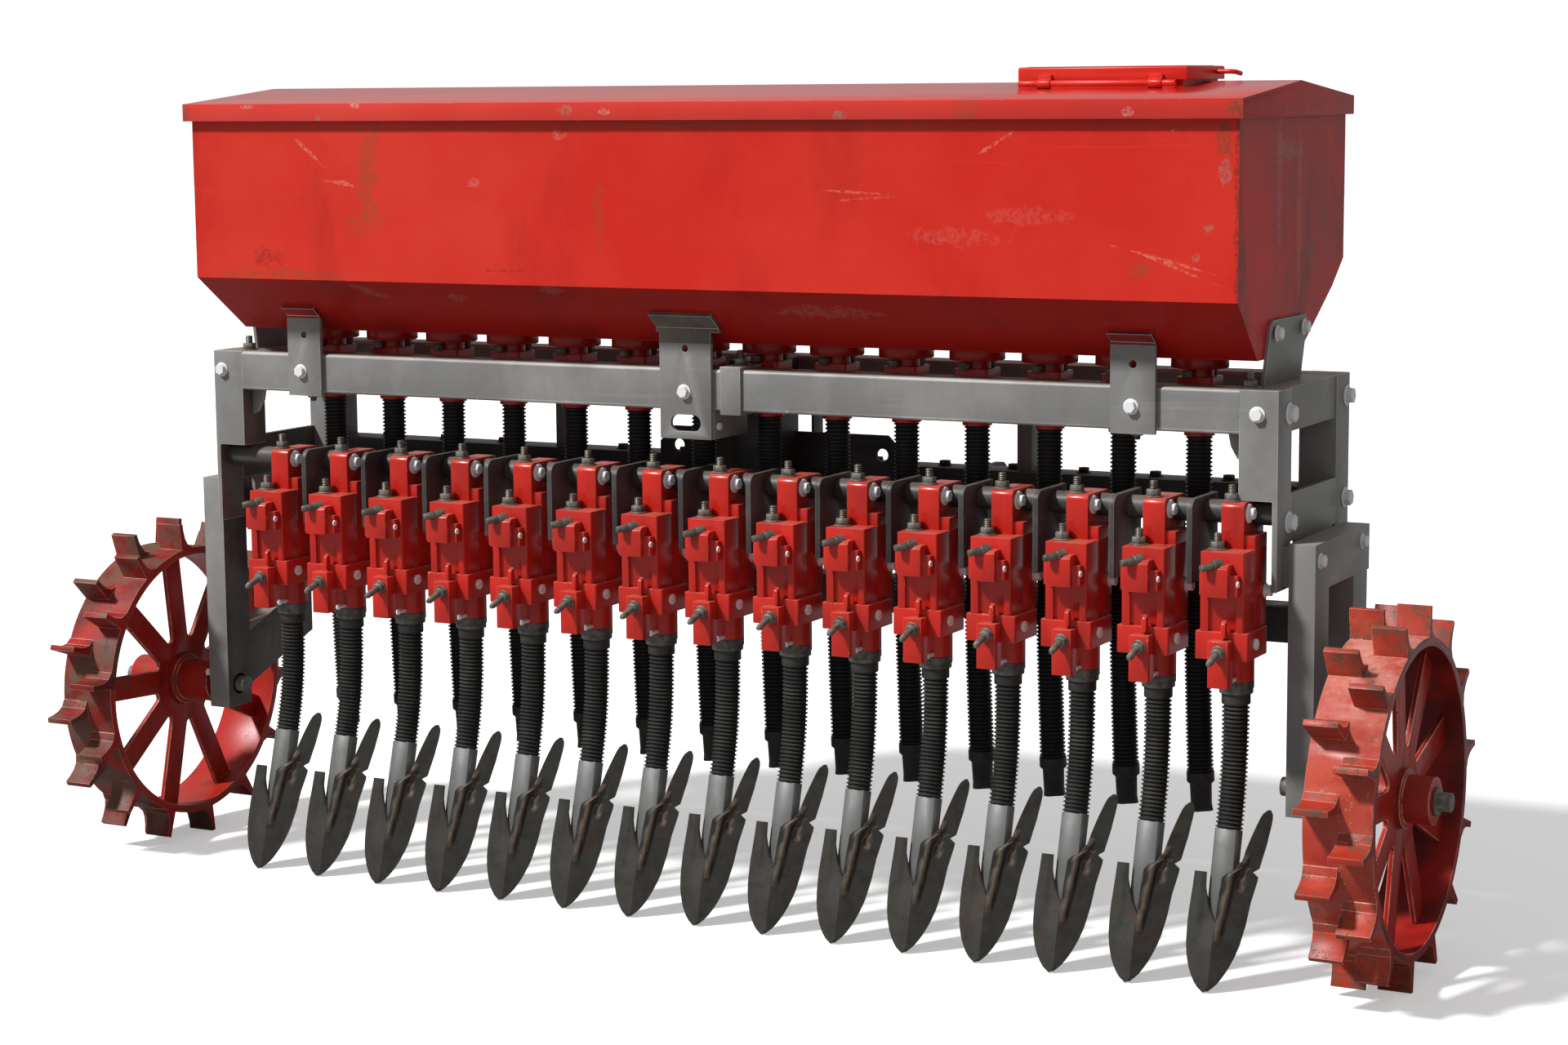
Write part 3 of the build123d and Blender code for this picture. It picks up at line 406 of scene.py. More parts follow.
# linear colours
paint = {
    "red": (0.6, 0.018, 0.009), "redFaded": (0.66, 0.034, 0.018), "redDeep": (0.4, 0.011, 0.007),
    "redDark": (0.13, 0.01, 0.008), "redDust": (0.46, 0.16, 0.11), "pink": (0.7, 0.4, 0.33),
    "primer": (0.3, 0.17, 0.12), "mud": (0.135, 0.068, 0.045), "dust": (0.36, 0.24, 0.17),
    "rust": (0.15, 0.055, 0.022), "rustDark": (0.055, 0.026, 0.014), "olive": (0.2, 0.075, 0.022),
    "scratch": (0.78, 0.22, 0.15), "grey": (0.2, 0.2, 0.193), "greyPale": (0.285, 0.28, 0.268),
    # greyGreenShade is the grey of the centre flap, darkened as painted shade
    "greyBrown": (0.165, 0.135, 0.112), "greyGreenShade": (0.07, 0.072, 0.058), "castRed": (0.46, 0.019, 0.011),
    "castPale": (0.56, 0.045, 0.028), "wheelRed": (0.38, 0.03, 0.013), "wheelPale": (0.5, 0.075, 0.042),
    # greyShadeDark is painted shade for the frame sides that face the middle
    # worn is the pale grey of frame edges: partly wear, partly painted highlight
    "greyShadeDark": (0.06, 0.056, 0.052), "worn": (0.56, 0.54, 0.5), "charcoal": (0.03, 0.031, 0.033),
    "charcoalPale": (0.085, 0.085, 0.082), "zinc": (0.25, 0.24, 0.21), "zincDull": (0.12, 0.105, 0.08),
    "greenBlack": (0.045, 0.05, 0.035), "pin": (0.21, 0.185, 0.155), "pinDull": (0.1, 0.085, 0.065),
    "clamp": (0.16, 0.155, 0.145), "clampDull": (0.07, 0.065, 0.055), "pipe": (0.165, 0.168, 0.165),
    "pipeDull": (0.12, 0.12, 0.115), "pipeStain": (0.2, 0.13, 0.1), "shovel": (0.046, 0.044, 0.038),
    "shovelDull": (0.026, 0.024, 0.02), "shovelBright": (0.3, 0.28, 0.25),
    "shovelWorn": (0.13, 0.11, 0.09), "shovelBrown": (0.085, 0.058, 0.04),
    "shovelBlack": (0.045, 0.03, 0.02), "hose": (0.03, 0.029, 0.026), "hoseDusty": (0.075, 0.07, 0.06),
    # groove and grooveDusty are near-black: painted shade in the hose grooves
    "groove": (0.004, 0.004, 0.004), "grooveDusty": (0.008, 0.008, 0.007), "drop": (0.014, 0.014, 0.013),
    "dropDusty": (0.03, 0.028, 0.024), "boot": (0.02, 0.02, 0.019), "bootDusty": (0.06, 0.055, 0.047),
}
# grain patterns: scale, detail, roughness, then stretch and twist where there are any
grains = {
    "paintCloud": (2.6, 5, 0.6), "drift": (7.0, 6, 0.65, (1.0, 1.0, 0.35)),
    "scratch": (16, 2, 0.5, (0.15, 0.15, 5.0), 0.8), "patch": (9, 5, 0.7), "speck": (90, 3, 0.6),
    "crust": (11, 7, 0.7), "ragged": (45, 5, 0.7), "broken": (150, 4, 0.7), "paintSkin": (260, 2, 0.5),
    "metalCloud": (30, 5, 0.65), "metalSpots": (16, 6, 0.7), "metalSkin": (150, 3, 0.6),
    "rubberDust": (20, 6, 0.65), "rubberSkin": (400, 2, 0.5),
}


def layer(place, name, grain=1.0, **more):
    scale, *rest = grains[name]
    return noise(place, scale * grain, *rest, **more)


def paintedFinish(name, main, faded, deep, under, chips=0.66, grime=0.5, gloss=0.36, grain=1.0, dust=0.0,
                  dustColour="dust", mud=0.0, coat=0.0, shine=0.3, marks=()):
    # paint faded in clouds, with grime, dust, fine scratches and chips down to what is under it
    finish, shader, place = newFinish(name)
    cloud = layer(place, "paintCloud", grain)
    colour = tint(band(cloud, 0.42, 0.66), main, faded)
    drift = layer(place, "drift", grain)
    colour = tint(band(drift, 0.52, 0.76, grime), colour, deep)
    scratch = layer(place, "scratch", grain)
    colour = tint(band(scratch, 0.675, 0.7, 0.4), colour, faded)
    patch = layer(place, "patch", grain)
    speck = layer(place, "speck", grain)
    worn = plus(times(speck, 0.45), times(patch, 0.55))
    chip = band(worn, chips, chips + 0.02)
    colour = tint(chip, colour, under)
    if dust:
        lying = band(upward(place.id_data), 0.35, 0.95, dust)
        share = times(lying, band(patch, 0.3, 0.6))
        colour = tint(share, colour, dustColour)
    if mud:
        crust = layer(place, "crust")
        colour = tint(band(crust, 0.6 - mud * 0.2, 0.7 - mud * 0.2, 0.92), colour, "mud")
    ragged = times(calc("SUBTRACT", layer(place, "ragged"), 0.5), 3.0)
    broken = band(layer(place, "broken"), 0.4, 0.56) if marks else None
    for key, strength, centre, reach, *tilt in marks:
        share = times(spot(place, ragged, centre, reach, *tilt), broken)
        share = times(share, strength)
        colour = tint(share, colour, key)
    connect(colour, shader.inputs["Base Color"])
    rough = plus(times(cloud, 0.22), gloss - 0.11)
    rough = plus(rough, times(chip, 0.3))
    connect(rough, shader.inputs["Roughness"])
    shader.inputs["Specular IOR Level"].default_value = shine
    shader.inputs["Coat Weight"].default_value = coat
    shader.inputs["Coat Roughness"].default_value = 0.22
    skin = bump(layer(place, "paintSkin"), 0.0002, 0.5)
    skin = bump(calc("SUBTRACT", 1.0, chip), 0.0003, 0.7, skin)
    connect(skin, shader.inputs["Normal"])
    return finish


def metalFinish(name, light, dull, rough, stain, stainFrom=0.62, grain=3, metal=0.5, brushed=None,
                thread=0.0):
    # metal dulled in clouds, with stains, a fine or brushed surface and a screw thread where asked
    finish, shader, place = newFinish(name)
    cloud = layer(place, "metalCloud", grain)
    colour = tint(band(cloud, 0.4, 0.65), light, dull)
    spots = layer(place, "metalSpots", grain)
    colour = tint(band(spots, stainFrom, stainFrom + 0.1), colour, stain)
    connect(colour, shader.inputs["Base Color"])
    shader.inputs["Metallic"].default_value = metal
    connect(plus(times(cloud, 0.35), rough - 0.17), shader.inputs["Roughness"])
    skin = bump(layer(place, "metalSkin", grain, stretch=brushed), 0.00015, 0.6)
    if thread:
        values = {"Vector": place, "Scale": thread}
        turns = put(place.id_data, "ShaderNodeTexWave", values, bands_direction="Z").outputs["Fac"]
        skin = bump(turns, 0.0009, 1.0, skin)
    connect(skin, shader.inputs["Normal"])
    return finish


noLimit = 9  # a reach past every edge of the machine


def onFront(rows):
    # marks seen from the front; columns: colour, strength, x, z, reach along x and z in mm, tilt in degrees
    return [(colour, strength, (x / 1000, 0, z / 1000), (wide / 1000, noLimit, high / 1000), *tilt)
            for colour, strength, x, z, wide, high, *tilt in rows]


def onEnds(rows):
    # marks on both ends; columns: colour, strength, y, z, reach along y and z in mm
    return [(colour, strength, (0, y / 1000, z / 1000), (noLimit, deep / 1000, high / 1000))
            for colour, strength, y, z, deep, high in rows]


lipMarks = onFront([
    ("pink", 0.5, -573, 1274, 11, 6), ("primer", 0.7, -645, 1255, 8, 5), ("primer", 0.7, -179, 1264, 13, 8),
    ("pink", 0.45, -109, 1262, 10, 6), ("pink", 0.4, -788, 1272, 14, 4), ("primer", 0.7, 293, 1254, 11, 7),
    ("pink", 0.5, 748, 1259, 10, 7), ("rust", 0.8, 912, 1262, 16, 22), ("rust", 0.7, -914, 1262, 10, 18),
]) + [("olive", 0.4, (0.5, -0.19, 1.285), (0.02, 0.16, noLimit))]
frontMarks = onFront([
    ("olive", 0.55, -560, 1172, 20, 80, 3), ("olive", 0.35, -565, 1090, 34, 26),
    ("scratch", 0.55, -609, 1149, 30, 4, 8), ("scratch", 0.5, -676, 1200, 34, 3, 38),
    ("redDark", 0.45, -768, 1028, 30, 16), ("olive", 0.5, -735, 1001, 120, 7),
    ("pink", 0.22, -358, 1150, 16, 9), ("redDark", 0.5, -307, 1014, 30, 2.5),
    ("scratch", 0.5, 536, 1213, 30, 3, -30), ("scratch", 0.5, 310, 1142, 60, 2, 3),
    ("scratch", 0.35, 330, 1133, 40, 2, -4), ("pink", 0.09, 476, 1079, 70, 14),
    ("pink", 0.09, 592, 1110, 70, 12), ("scratch", 0.5, 800, 1050, 70, 2.2, 14),
    ("scratch", 0.45, 815, 1040, 55, 2, 20), ("olive", 0.6, 761, 1035, 16, 9),
    ("rust", 0.7, 887, 1215, 12, 24), ("grey", 0.5, 888, 1181, 8, 22), ("primer", 0.7, 865, 1096, 8, 6),
    ("primer", 0.7, 847, 1056, 7, 7), ("rustDark", 0.6, 908, 1120, 6, 200),
    ("olive", 0.4, 100, 1245, 300, 6), ("pink", 0.18, -200, 1226, 14, 7),
    ("olive", 0.3, -130, 1100, 10, 70),
])
slantMarks = onFront([
    ("primer", 0.5, -580, 975, 30, 7, 20), ("primer", 0.5, -415, 967, 20, 6),
    ("primer", 0.45, -225, 985, 20, 6), ("redDust", 0.4, 250, 960, 90, 10),
])
endMarks = onEnds([
    ("rust", 0.75, 125, 1052, 20, 16), ("redDust", 0.45, -20, 1160, 12, 110),
    ("redDust", 0.4, 70, 1110, 10, 130), ("rustDark", 0.65, -186, 1120, 8, 160),
    ("primer", 0.5, 20, 1200, 60, 14), ("rust", 0.4, 190, 1150, 20, 90),
])
redSheet = paintedFinish(
    "red sheet", "red", "redFaded", "redDeep", "primer", 0.675, 0.7, marks=frontMarks + slantMarks,
)
redPlain = paintedFinish("red sheet plain", "red", "redFaded", "redDeep", "primer", 0.68, 0.6)
redRoof = paintedFinish(
    "red roof", "red", "redFaded", "redDeep", "redDust", 0.69, 0.3, 0.3, coat=1.0, marks=lipMarks,
)
# the hopper's ends in a deeper red than its front: painted shade, with real stains and streaks on it
redEndShaded = paintedFinish(
    "red hopper end painted shade", "redDeep", "red", "redDark", "primer", 0.66, 0.9, 0.42, 2, marks=endMarks,
)
# the slanted, downward-facing strip of the front sheet in a deeper red: painted shade, with real primer
# marks
redSlantShaded = paintedFinish(
    "red slant painted shade", "redDeep", "redDeep", "redDark", "primer", 0.69, 0.8, 0.36, shine=0.15, marks=slantMarks,
)
# the bent flaps in dark red and dark grey-green: real red paint and grey plate, darkened as painted shade
redFlapShaded = paintedFinish("red flap painted shade", "redDark", "redDeep", "redDark", "pink", 0.64, 0.4, 0.5, 4)
greyFlapShaded = paintedFinish("grey flap painted shade", "greyGreenShade", "greyBrown", "rustDark", "pink", 0.66, 0.4, 0.5, 4)
# a lighter red for bevelled sheet edges: partly wear, partly painted highlight
redSheetEdge = paintedFinish("red sheet edge", "redFaded", "redFaded", "redDeep", "redDust", 0.56, 0.3)
redCast = paintedFinish(
    "red casting", "castRed", "red", "redDark", "redDust", 0.67, 0.45, 0.34, 3, dust=0.6,
    dustColour="redDust", coat=0.3,
)
# a paler red for bevelled casting edges: partly wear, partly painted highlight
redCastEdge = paintedFinish(
    "red casting edge", "castPale", "redFaded", "castRed", "pink", 0.6, 0.3, 0.34, 3, dust=0.7,
    dustColour="redDust", coat=0.3,
)
redWheel = paintedFinish(
    "red wheel", "redDeep", "wheelRed", "redDark", "rust", 0.62, 0.9, 0.36, 4, mud=0.12,
)
# the inside of the right rim in a dark red: painted shade
redInsideShaded = paintedFinish("red wheel inside painted shade", "redDark", "redDeep", "redDark", "rust", 0.66, 0.7, 0.36, 4)
redTread = paintedFinish(
    "red tread", "wheelRed", "wheelPale", "redDeep", "redDust", 0.58, 0.8, 0.32, 3, dust=0.5,
    dustColour="pink", mud=0.15, coat=0.3,
)
brownLug = paintedFinish("brown lug", "wheelRed", "wheelPale", "rust", "mud", 0.56, 0.9, 0.45, 4, mud=0.5)
# pinkish wheel edges: partly wear and mud, partly painted highlight
redWheelEdge = paintedFinish(
    "red wheel edge", "redDust", "pink", "rust", "mud", 0.56, 0.5, 0.5, 4, mud=0.45,
)
muddyWheel = paintedFinish(
    "muddy wheel", "redDark", "redDeep", "rustDark", "rust", 0.58, 0.9, 0.55, 4, mud=0.7,
)
greyFrame = paintedFinish(
    "grey frame", "grey", "greyPale", "greyBrown", "rust", 0.7, 0.4, 0.42, 2, dust=0.45,
)
# pale grey frame edges: partly wear, partly painted highlight
greyFrameEdge = paintedFinish(
    "grey frame edge", "greyPale", "worn", "greyBrown", "worn", 0.6, 0.2, 0.4, 2, dust=0.3,
)
# a dark grey for frame sides facing the middle: painted shade, with dust and rust chips
greyInnerShaded = paintedFinish(
    "grey inner side painted shade", "greyShadeDark", "greyBrown", "rustDark", "rust", 0.68, 0.8, 0.5, 2, dust=0.4,
)
charcoalPlate = paintedFinish(
    "charcoal plate", "charcoal", "charcoalPale", "charcoal", "greyBrown", 0.68, 0.4, 0.45, 2, dust=0.35,
)
# paler edges on the dark plates: partly wear, partly painted highlight
charcoalEdge = paintedFinish(
    "charcoal edge", "charcoalPale", "greyPale", "charcoal", "greyPale", 0.6, 0.3, 0.42, 2,
)
boltZinc = metalFinish("bolt zinc", "zinc", "zincDull", 0.58, "greyBrown", metal=0.45)
boltThread = metalFinish("bolt thread", "zinc", "zincDull", 0.38, "greyBrown", metal=0.7, thread=110)
boltDark = metalFinish("dark bolt", "charcoalPale", "rustDark", 0.5, "rust", 0.66)
pinSteel = metalFinish("pin steel", "pin", "pinDull", 0.46, "rustDark")
clampSteel = metalFinish("clamp steel", "clamp", "clampDull", 0.45, "rustDark", 0.6)
nutGreen = metalFinish("dark hub nut", "greenBlack", "rustDark", 0.45, "mud")
pipeSteel = metalFinish("pipe steel", "pipe", "pipeDull", 0.48, "pipeStain", 0.64, 0.6, 0.4, (1, 1, 0.15))
shovelSteel = metalFinish("shovel steel", "shovel", "shovelDull", 0.46, "rustDark", 0.58, 1.5)
shovelEdge = metalFinish("shovel edge", "shovelBright", "shovelWorn", 0.42, "rust", 0.6, 1.5, 0.6)
shovelRust = metalFinish("shovel rust", "shovelBrown", "shovelBlack", 0.6, "rustDark", 0.58, 2.5, 0.3)


def rubberFinish(name, base, dusty, rough):
    finish, shader, place = newFinish(name)
    dust = layer(place, "rubberDust")
    colour = tint(band(dust, 0.45, 0.75), base, dusty)
    connect(colour, shader.inputs["Base Color"])
    connect(plus(times(dust, 0.4), rough), shader.inputs["Roughness"])
    connect(bump(layer(place, "rubberSkin"), 0.0001, 0.4), shader.inputs["Normal"])
    return finish


hoseRubber = rubberFinish("hose rubber", "hose", "hoseDusty", 0.2)
# the hose grooves in near-black rubber: painted shade
grooveShadeRubber = rubberFinish("hose groove painted shade", "groove", "grooveDusty", 0.55)
dropRubber = rubberFinish("drop hose rubber", "drop", "dropDusty", 0.22)
bootRubber = rubberFinish("boot rubber", "boot", "bootDusty", 0.3)
red, grey, dark, steel, rubber = "red_paint", "grey_paint", "dark_steel", "bare_steel", "black_rubber"
print("finishes ready")


def nodeCopy(node):
    # a merged copy of a frame node's mesh
    source = frame["nodes"][node]
    skin = source.copy()
    skin.data = source.data.copy()
    for key in list(skin.keys()):
        del skin[key]
    bpy.context.scene.collection.objects.link(skin)
    skin.parent = None
    skin.name = node + ".skin"
    pick(skin)
    bpy.ops.mesh.customdata_custom_splitnormals_clear()
    inEditMode(
        skin,
        selectAll,
        lambda: bpy.ops.mesh.remove_doubles(threshold=0.00001),
        lambda: bpy.ops.mesh.dissolve_limited(angle_limit=math.radians(1)),
    )
    return skin


def skinOf(node, finishes, width=0.0012, body="frame", shape=None):
    # keeps the node's own shape, with its edges softened
    skin = nodeCopy(node)
    if shape:
        shape(skin)
    settle(skin, body, finishes, [node])
    if width:
        # the last finish goes on the bevel faces: a lighter edge finish, partly wear and partly painted
        # highlight
        bevelEdges(skin, width, 2, 30, len(finishes) - 1)
    smooth(skin)
    return skin


sheetRed, castRed = (redPlain, redSheetEdge), (redCast, redCastEdge)
frameGrey, plateDark = (greyFrame, greyFrameEdge), (charcoalPlate, charcoalEdge)
# columns: finishes, slot, edge width, nodes
skins = [
    (frameGrey, grey, 0.0009, ["side_top_rails"]),
    (frameGrey, grey, 0.001, [
        "front_posts", "rear_posts", "side_lower_plates", "beam_hangers", "corner_gussets", "rail_sleeve",
        "hopper_end_mounts", "wheel_carriers", "rear_uprights",
    ]),
    (plateDark, dark, 0.0008, ["rear_beam", "tool_beam"]),
    (plateDark, dark, 0.0012, ["hitch_plate", "hitch_column", "lower_hitch_ears"]),
    (plateDark, dark, 0.001, ["mast_plates"]),
    (plateDark, dark, 0.0, ["cross_tube"]),
    (castRed, red, 0.0014, ["unit_ears", "unit_blocks", "unit_collars"]),
    (castRed, red, 0.0012, ["unit_locks", "unit_latches"]),
    (castRed, "red_alloy", 0.0012, ["metering_cups"]),
    (sheetRed, red, 0.0, ["hopper_rear_panel", "hopper_floor", "filler_curb"]),
    # the end panels' deeper red is painted shade
    ((redEndShaded, redSheetEdge), red, 0.0, ["hopper_end_panels"]),
    (sheetRed, red, 0.0004, ["lid_hinge"]),
    ((pipeSteel,), steel, 0.0006, ["opener_tubes"]),
    ((boltZinc,), steel, 0.0008, ["lower_hitch_pins"]),
    ((boltZinc,), steel, 0.001, ["axles"]),
    ((clampSteel,), dark, 0.0006, ["hose_clamps"]),
]
# the sides of these that face the middle of the machine are darker: painted shade, with dust and rust chips
# on it
shadedInward = ("front_posts", "rear_posts", "side_lower_plates", "wheel_carriers")


def repaint(piece, finish, test):
    # one more finish, on the faces that pass the test
    added = len(piece.data.materials)
    addFinishes(piece, finish)
    paintFaces(piece, lambda f: added if test(f) else f.material_index)


for finishes, slot, width, nodes in skins:
    for node in nodes:
        skin = skinOf(node, finishes, width)
        if node in shadedInward:
            # faces turned to the middle get the darker grey: painted shade
            repaint(skin, greyInnerShaded, lambda f: facesSideways(f) and f.normal.x * f.center.x < 0)

gableSet = {"border": 0.01, "sunk": 0.0015, "leastArea": 0.005}


def gables(skin):
    # the roof's end faces stand back from a narrow rim
    inEditMode(
        skin,
        lambda: selectWhere(skin, lambda f: facesSideways(f) and f.calc_area() > gableSet["leastArea"]),
        lambda: bpy.ops.mesh.inset(thickness=gableSet["border"], depth=-gableSet["sunk"]),
    )


roofSkin = skinOf("hopper_roof", (redRoof, redSheetEdge), 0.0004, "frame", gables)
# the roof's end faces get the same deeper red: painted shade
repaint(roofSkin, redEndShaded, facesSideways)

plateFoot = 0.583


def trimPlates(skin):
    # the plates end above the bosses on the castings beside them
    cutAcross(skin, 2, [plateFoot], clear_inner=True, use_fill=True)


skinOf("row_plates", plateDark, 0.0012, "frame", trimPlates)
print("frame pieces dressed")

cupSet = {"count": 14, "spacing": 0.12, "y": 0.009}
collarSet = {"radius": 0.043, "height": 0.02, "soft": 0.002, "sides": 32}


def spacedOut(count, spacing, shift=0.0):
    # places along X, evenly spaced on both sides of the shift
    return [shift + spacing * (i - (count - 1) / 2) for i in range(count)]


cupPlaces = spacedOut(cupSet["count"], cupSet["spacing"])


def makeCollars():
    # round flanges that hold the metering cups to the hopper's floor
    s = collarSet
    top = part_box("hopper_floor")[0][2]
    parts = []
    for x in cupPlaces:
        part = roundPiece("collar", s["radius"], top - s["height"], top, s["sides"])
        part.data.transform(Matrix.Translation((x, cupSet["y"], 0)))
        bevelEdges(part, s["soft"], 2, 50)
        parts.append(part)
    smooth(settle(joined(parts, "cup_collars"), "frame", [redCast]))


makeCollars()
print("collars made")

railSet = {"roll": 0.005, "segments": 4, "flat": 0.999}


def softRail(node, name):
    # a closed box tube whose long edges are rolled
    low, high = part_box(node)
    rail = boxPiece(name, low, high)

    def runsAlong(edge):
        return abs((edge.verts[0].co - edge.verts[1].co).normalized().x) > railSet["flat"]

    inEditMode(
        rail,
        lambda: selectWhere(rail, runsAlong, "edges"),
        lambda: bpy.ops.mesh.bevel(offset=railSet["roll"], segments=railSet["segments"], affect="EDGES"),
    )
    smooth(rail, 40)
    settle(rail, "frame", frameGrey, [node])
    # the rolled long edges get the paler edge finish: partly wear, partly painted highlight
    paintFaces(rail, lambda f: 0 if max(abs(v) for v in f.normal) > railSet["flat"] else 1)


softRail("top_rail_front", "front_rail")
softRail("top_rail_rear", "rear_rail")
print("rails made")

# each dent: x, z, reach and depth of the hollow, in metres
frontSet = {
    "stepX": 0.03, "stepZ": 0.022, "left": -0.909, "right": 0.909, "fold": 0.992, "top": 1.249,
    "edge": 0.035, "wave": 0.0012, "waveSize": 3.2, "near": 0.001,
    "dents": [
        (-0.55, 1.12, 0.07, 0.0016), (-0.2, 1.17, 0.1, 0.0014), (0.36, 1.08, 0.09, 0.0016),
        (0.8, 1.06, 0.05, 0.0018), (-0.74, 1.06, 0.06, 0.0014), (0.1, 1.1, 0.14, 0.0012),
        (0.62, 1.19, 0.06, -0.0012), (-0.38, 1.2, 0.05, -0.001),
    ],
}


def steps(low, high, step):
    # places between two ends, neither of them included
    return [low + step * i for i in range(1, math.ceil((high - low) / step))]


def frontPanel():
    # the front sheet, cut fine enough to be dented
    panel = nodeCopy("hopper_front_panel")
    s = frontSet
    cutAcross(panel, 0, steps(s["left"], s["right"], s["stepX"]))
    cutAcross(panel, 2, steps(s["fold"], s["top"], s["stepZ"]))
    for vertex in panel.data.vertices:
        x, y, z = vertex.co
        inner = min(x - s["left"], s["right"] - x, z - s["fold"], s["top"] - z) / s["edge"]
        if inner <= 0:
            continue
        depth = s["wave"] * pattern.noise(Vector((x, 0, z)) * s["waveSize"])
        for atX, atZ, reach, hollow in s["dents"]:
            depth += hollow * math.exp(-((x - atX) ** 2 + (z - atZ) ** 2) / reach**2)
        vertex.co.y = y + depth * min(inner, 1) ** 2
    settle(panel, "frame", (redSheet, redSheetEdge), ["hopper_front_panel"])
    # faces below the fold get the deeper red: painted shade
    repaint(panel, redSlantShaded, lambda f: f.center.z < s["fold"] - s["near"])
    smooth(panel, 30)


frontPanel()
print("hopper dressed")

lidSet = {"border": 0.012, "press": 0.003, "slope": 0.004, "near": 0.0005}


def pressLid(lid):
    # the middle of the lid's top stands up from a lowered border
    s = lidSet
    top = max(v.co.z for v in lid.data.vertices)
    inEditMode(
        lid,
        lambda: selectWhere(lid, lambda f: f.normal.z > 0.9 and f.calc_center_median().z > top - s["near"]),
        lambda: bpy.ops.mesh.inset(thickness=s["border"]),
        lambda: bpy.ops.mesh.inset(thickness=s["slope"], depth=s["press"]),
    )
    for vertex in lid.data.vertices:
        if vertex.co.z > top - s["near"]:
            vertex.co.z = top if vertex.co.z > top + s["near"] else top - s["press"]


skinOf("filler_lid", (redPlain, redSheetEdge), 0.0006, "filler_lid", pressLid)
skinOf("lid_handle", sheetRed, 0.0, "filler_lid")
print("lid made")

# where the paint of the bent flaps starts, and what it is: red paint and grey plate, both darkened as
# painted shade
bracketSet = {"hopper_brackets": (0.923, redFlapShaded), "centre_bracket": (0.903, greyFlapShaded)}
bracketSoft = 0.0012


def paintFlaps(node, paintFrom, finish):
    skin = nodeCopy(node)
    cutAcross(skin, 2, [paintFrom])
    settle(skin, "frame", (greyFrame, finish, greyFrameEdge), [node])
    paintFaces(skin, lambda f: 1 if f.center.z > paintFrom else 0)
    bevelEdges(skin, bracketSoft, 2, 30, 2)
    smooth(skin)


for node, (paintFrom, finish) in bracketSet.items():
    paintFlaps(node, paintFrom, finish)
print("brackets made")

# each kind of fastener, standing on its seat along Z; columns: head, washer, stud, each with its radius and
# height in millimetres
boltSet = {
    "hex": ((9.5, 7), (12, 1.5)), "hexBig": ((12.5, 9), (16, 2.5)), "hexSmall": ((6.5, 5),),
    "hexTall": ((9, 10),), "flanged": ((9, 7), (14, 3)), "stud": ((11, 9.5), (13.5, 2), (5.8, 22)),
    "studShort": ((10, 8), (12, 2), (5.2, 14)), "studBig": ((15, 12), (19, 3), (9, 22)),
    "hubNut": ((13.5, 15),), "boss": ((9, 9), (11, 1.5)), "clampStem": ((3.5, 22),),
}
boltEdges = {"head": 0.0007, "shaft": 0.0012}
# slotted heads: radii, then height, edge, the slot's half width and its floor as shares of the radius
screwSet = {"slotted": 0.0082, "slottedSmall": 0.0046}
screwShares = {"high": 0.6, "soft": 0.15, "wide": 0.13, "floor": 0.36}


def boltKind(name, head, washer=None, stud=None):
    pieces, base = [], 0.0
    if washer:
        pieces.append(roundPiece("washer", washer[0] / 1000, 0, washer[1] / 1000, 20))
        base = washer[1] / 1000
    pieces.append(roundPiece("nut", head[0] / 1000, base, base + head[1] / 1000, 6))
    for piece in pieces:
        bevelEdges(piece, boltEdges["head"], 1, 40)
    if stud:
        shaft = roundPiece("shaft", stud[0] / 1000, base, base + stud[1] / 1000, 12)
        bevelEdges(shaft, boltEdges["shaft"], 1, 60)
        for piece in pieces:
            addFinishes(piece, boltZinc)
        addFinishes(shaft, boltThread)
        pieces.append(shaft)
    return joined(pieces, name)


def slottedScrew(radius):
    # a round head with a slot cut across it
    high, soft, wide, floor = (radius * share for share in screwShares.values())
    head = roundPiece("slotted", radius, 0, high, 18)
    bevelEdges(head, soft, 2, 60)
    cutWith(head, boxPiece("slot", (-2 * radius, -wide, floor), (2 * radius, wide, radius)))
    return head


kinds = {name: boltKind(name, *sizes) for name, sizes in boltSet.items()}
kinds.update({name: slottedScrew(radius) for name, radius in screwSet.items()})
up, down, front, right, left = (0, 0, 1), (0, 0, -1), (0, -1, 0), (1, 0, 0), (-1, 0, 0)
# columns: kind, x, y, z, direction; millimetres
frameBolts = [
    ("hex", -756, -120, 834, front), ("studShort", -754, -90, 798, down), ("hex", 722, -120, 833, front),
    ("studShort", 720, -90, 798, down), ("hex", -23, -120, 827, front),
    ("hexSmall", 25.5, -100, 773, right), ("hex", -926, -112, 831, front), ("hex", 911.5, -112, 828, front),
    ("stud", 890, -82, 863, up), ("stud", -890, -82, 863, up), ("stud", 57, -82, 868, up),
]
# those on the outer faces, right and left alike; columns: kind, distance from the middle, y, z
sideBolts = [
    ("hexBig", 943, -64, 669), ("hexBig", 943, 199, 674), ("hexBig", 943, 202, 829),
    ("hexBig", 943, -66, 827), ("hex", 993, -67, 616), ("hex", 993, 131, 619), ("hex", 913.5, -35, 939),
    ("hex", 913.5, 86, 940), ("studBig", 953, -56, 278), ("hexSmall", 993, -88, 300),
]
# on every row, from the row's centre line; columns: kind, x, y, z, direction
rowBolts = [
    ("stud", -17, -146, 636, up), ("stud", -8, -112, 702, up), ("flanged", 17, -112, 685.5, right),
    ("boss", 38, -96, 573, right), ("slottedSmall", 27, -186, 593, right),
    ("slotted", 40, -146, 502, right), ("slotted", -40, -146, 502, left),
    ("slottedSmall", 6, -150, 446, front), ("clampStem", 6, -128, 446, front),
]
beamBolts = [("hex", 0, 188, 692, up)]
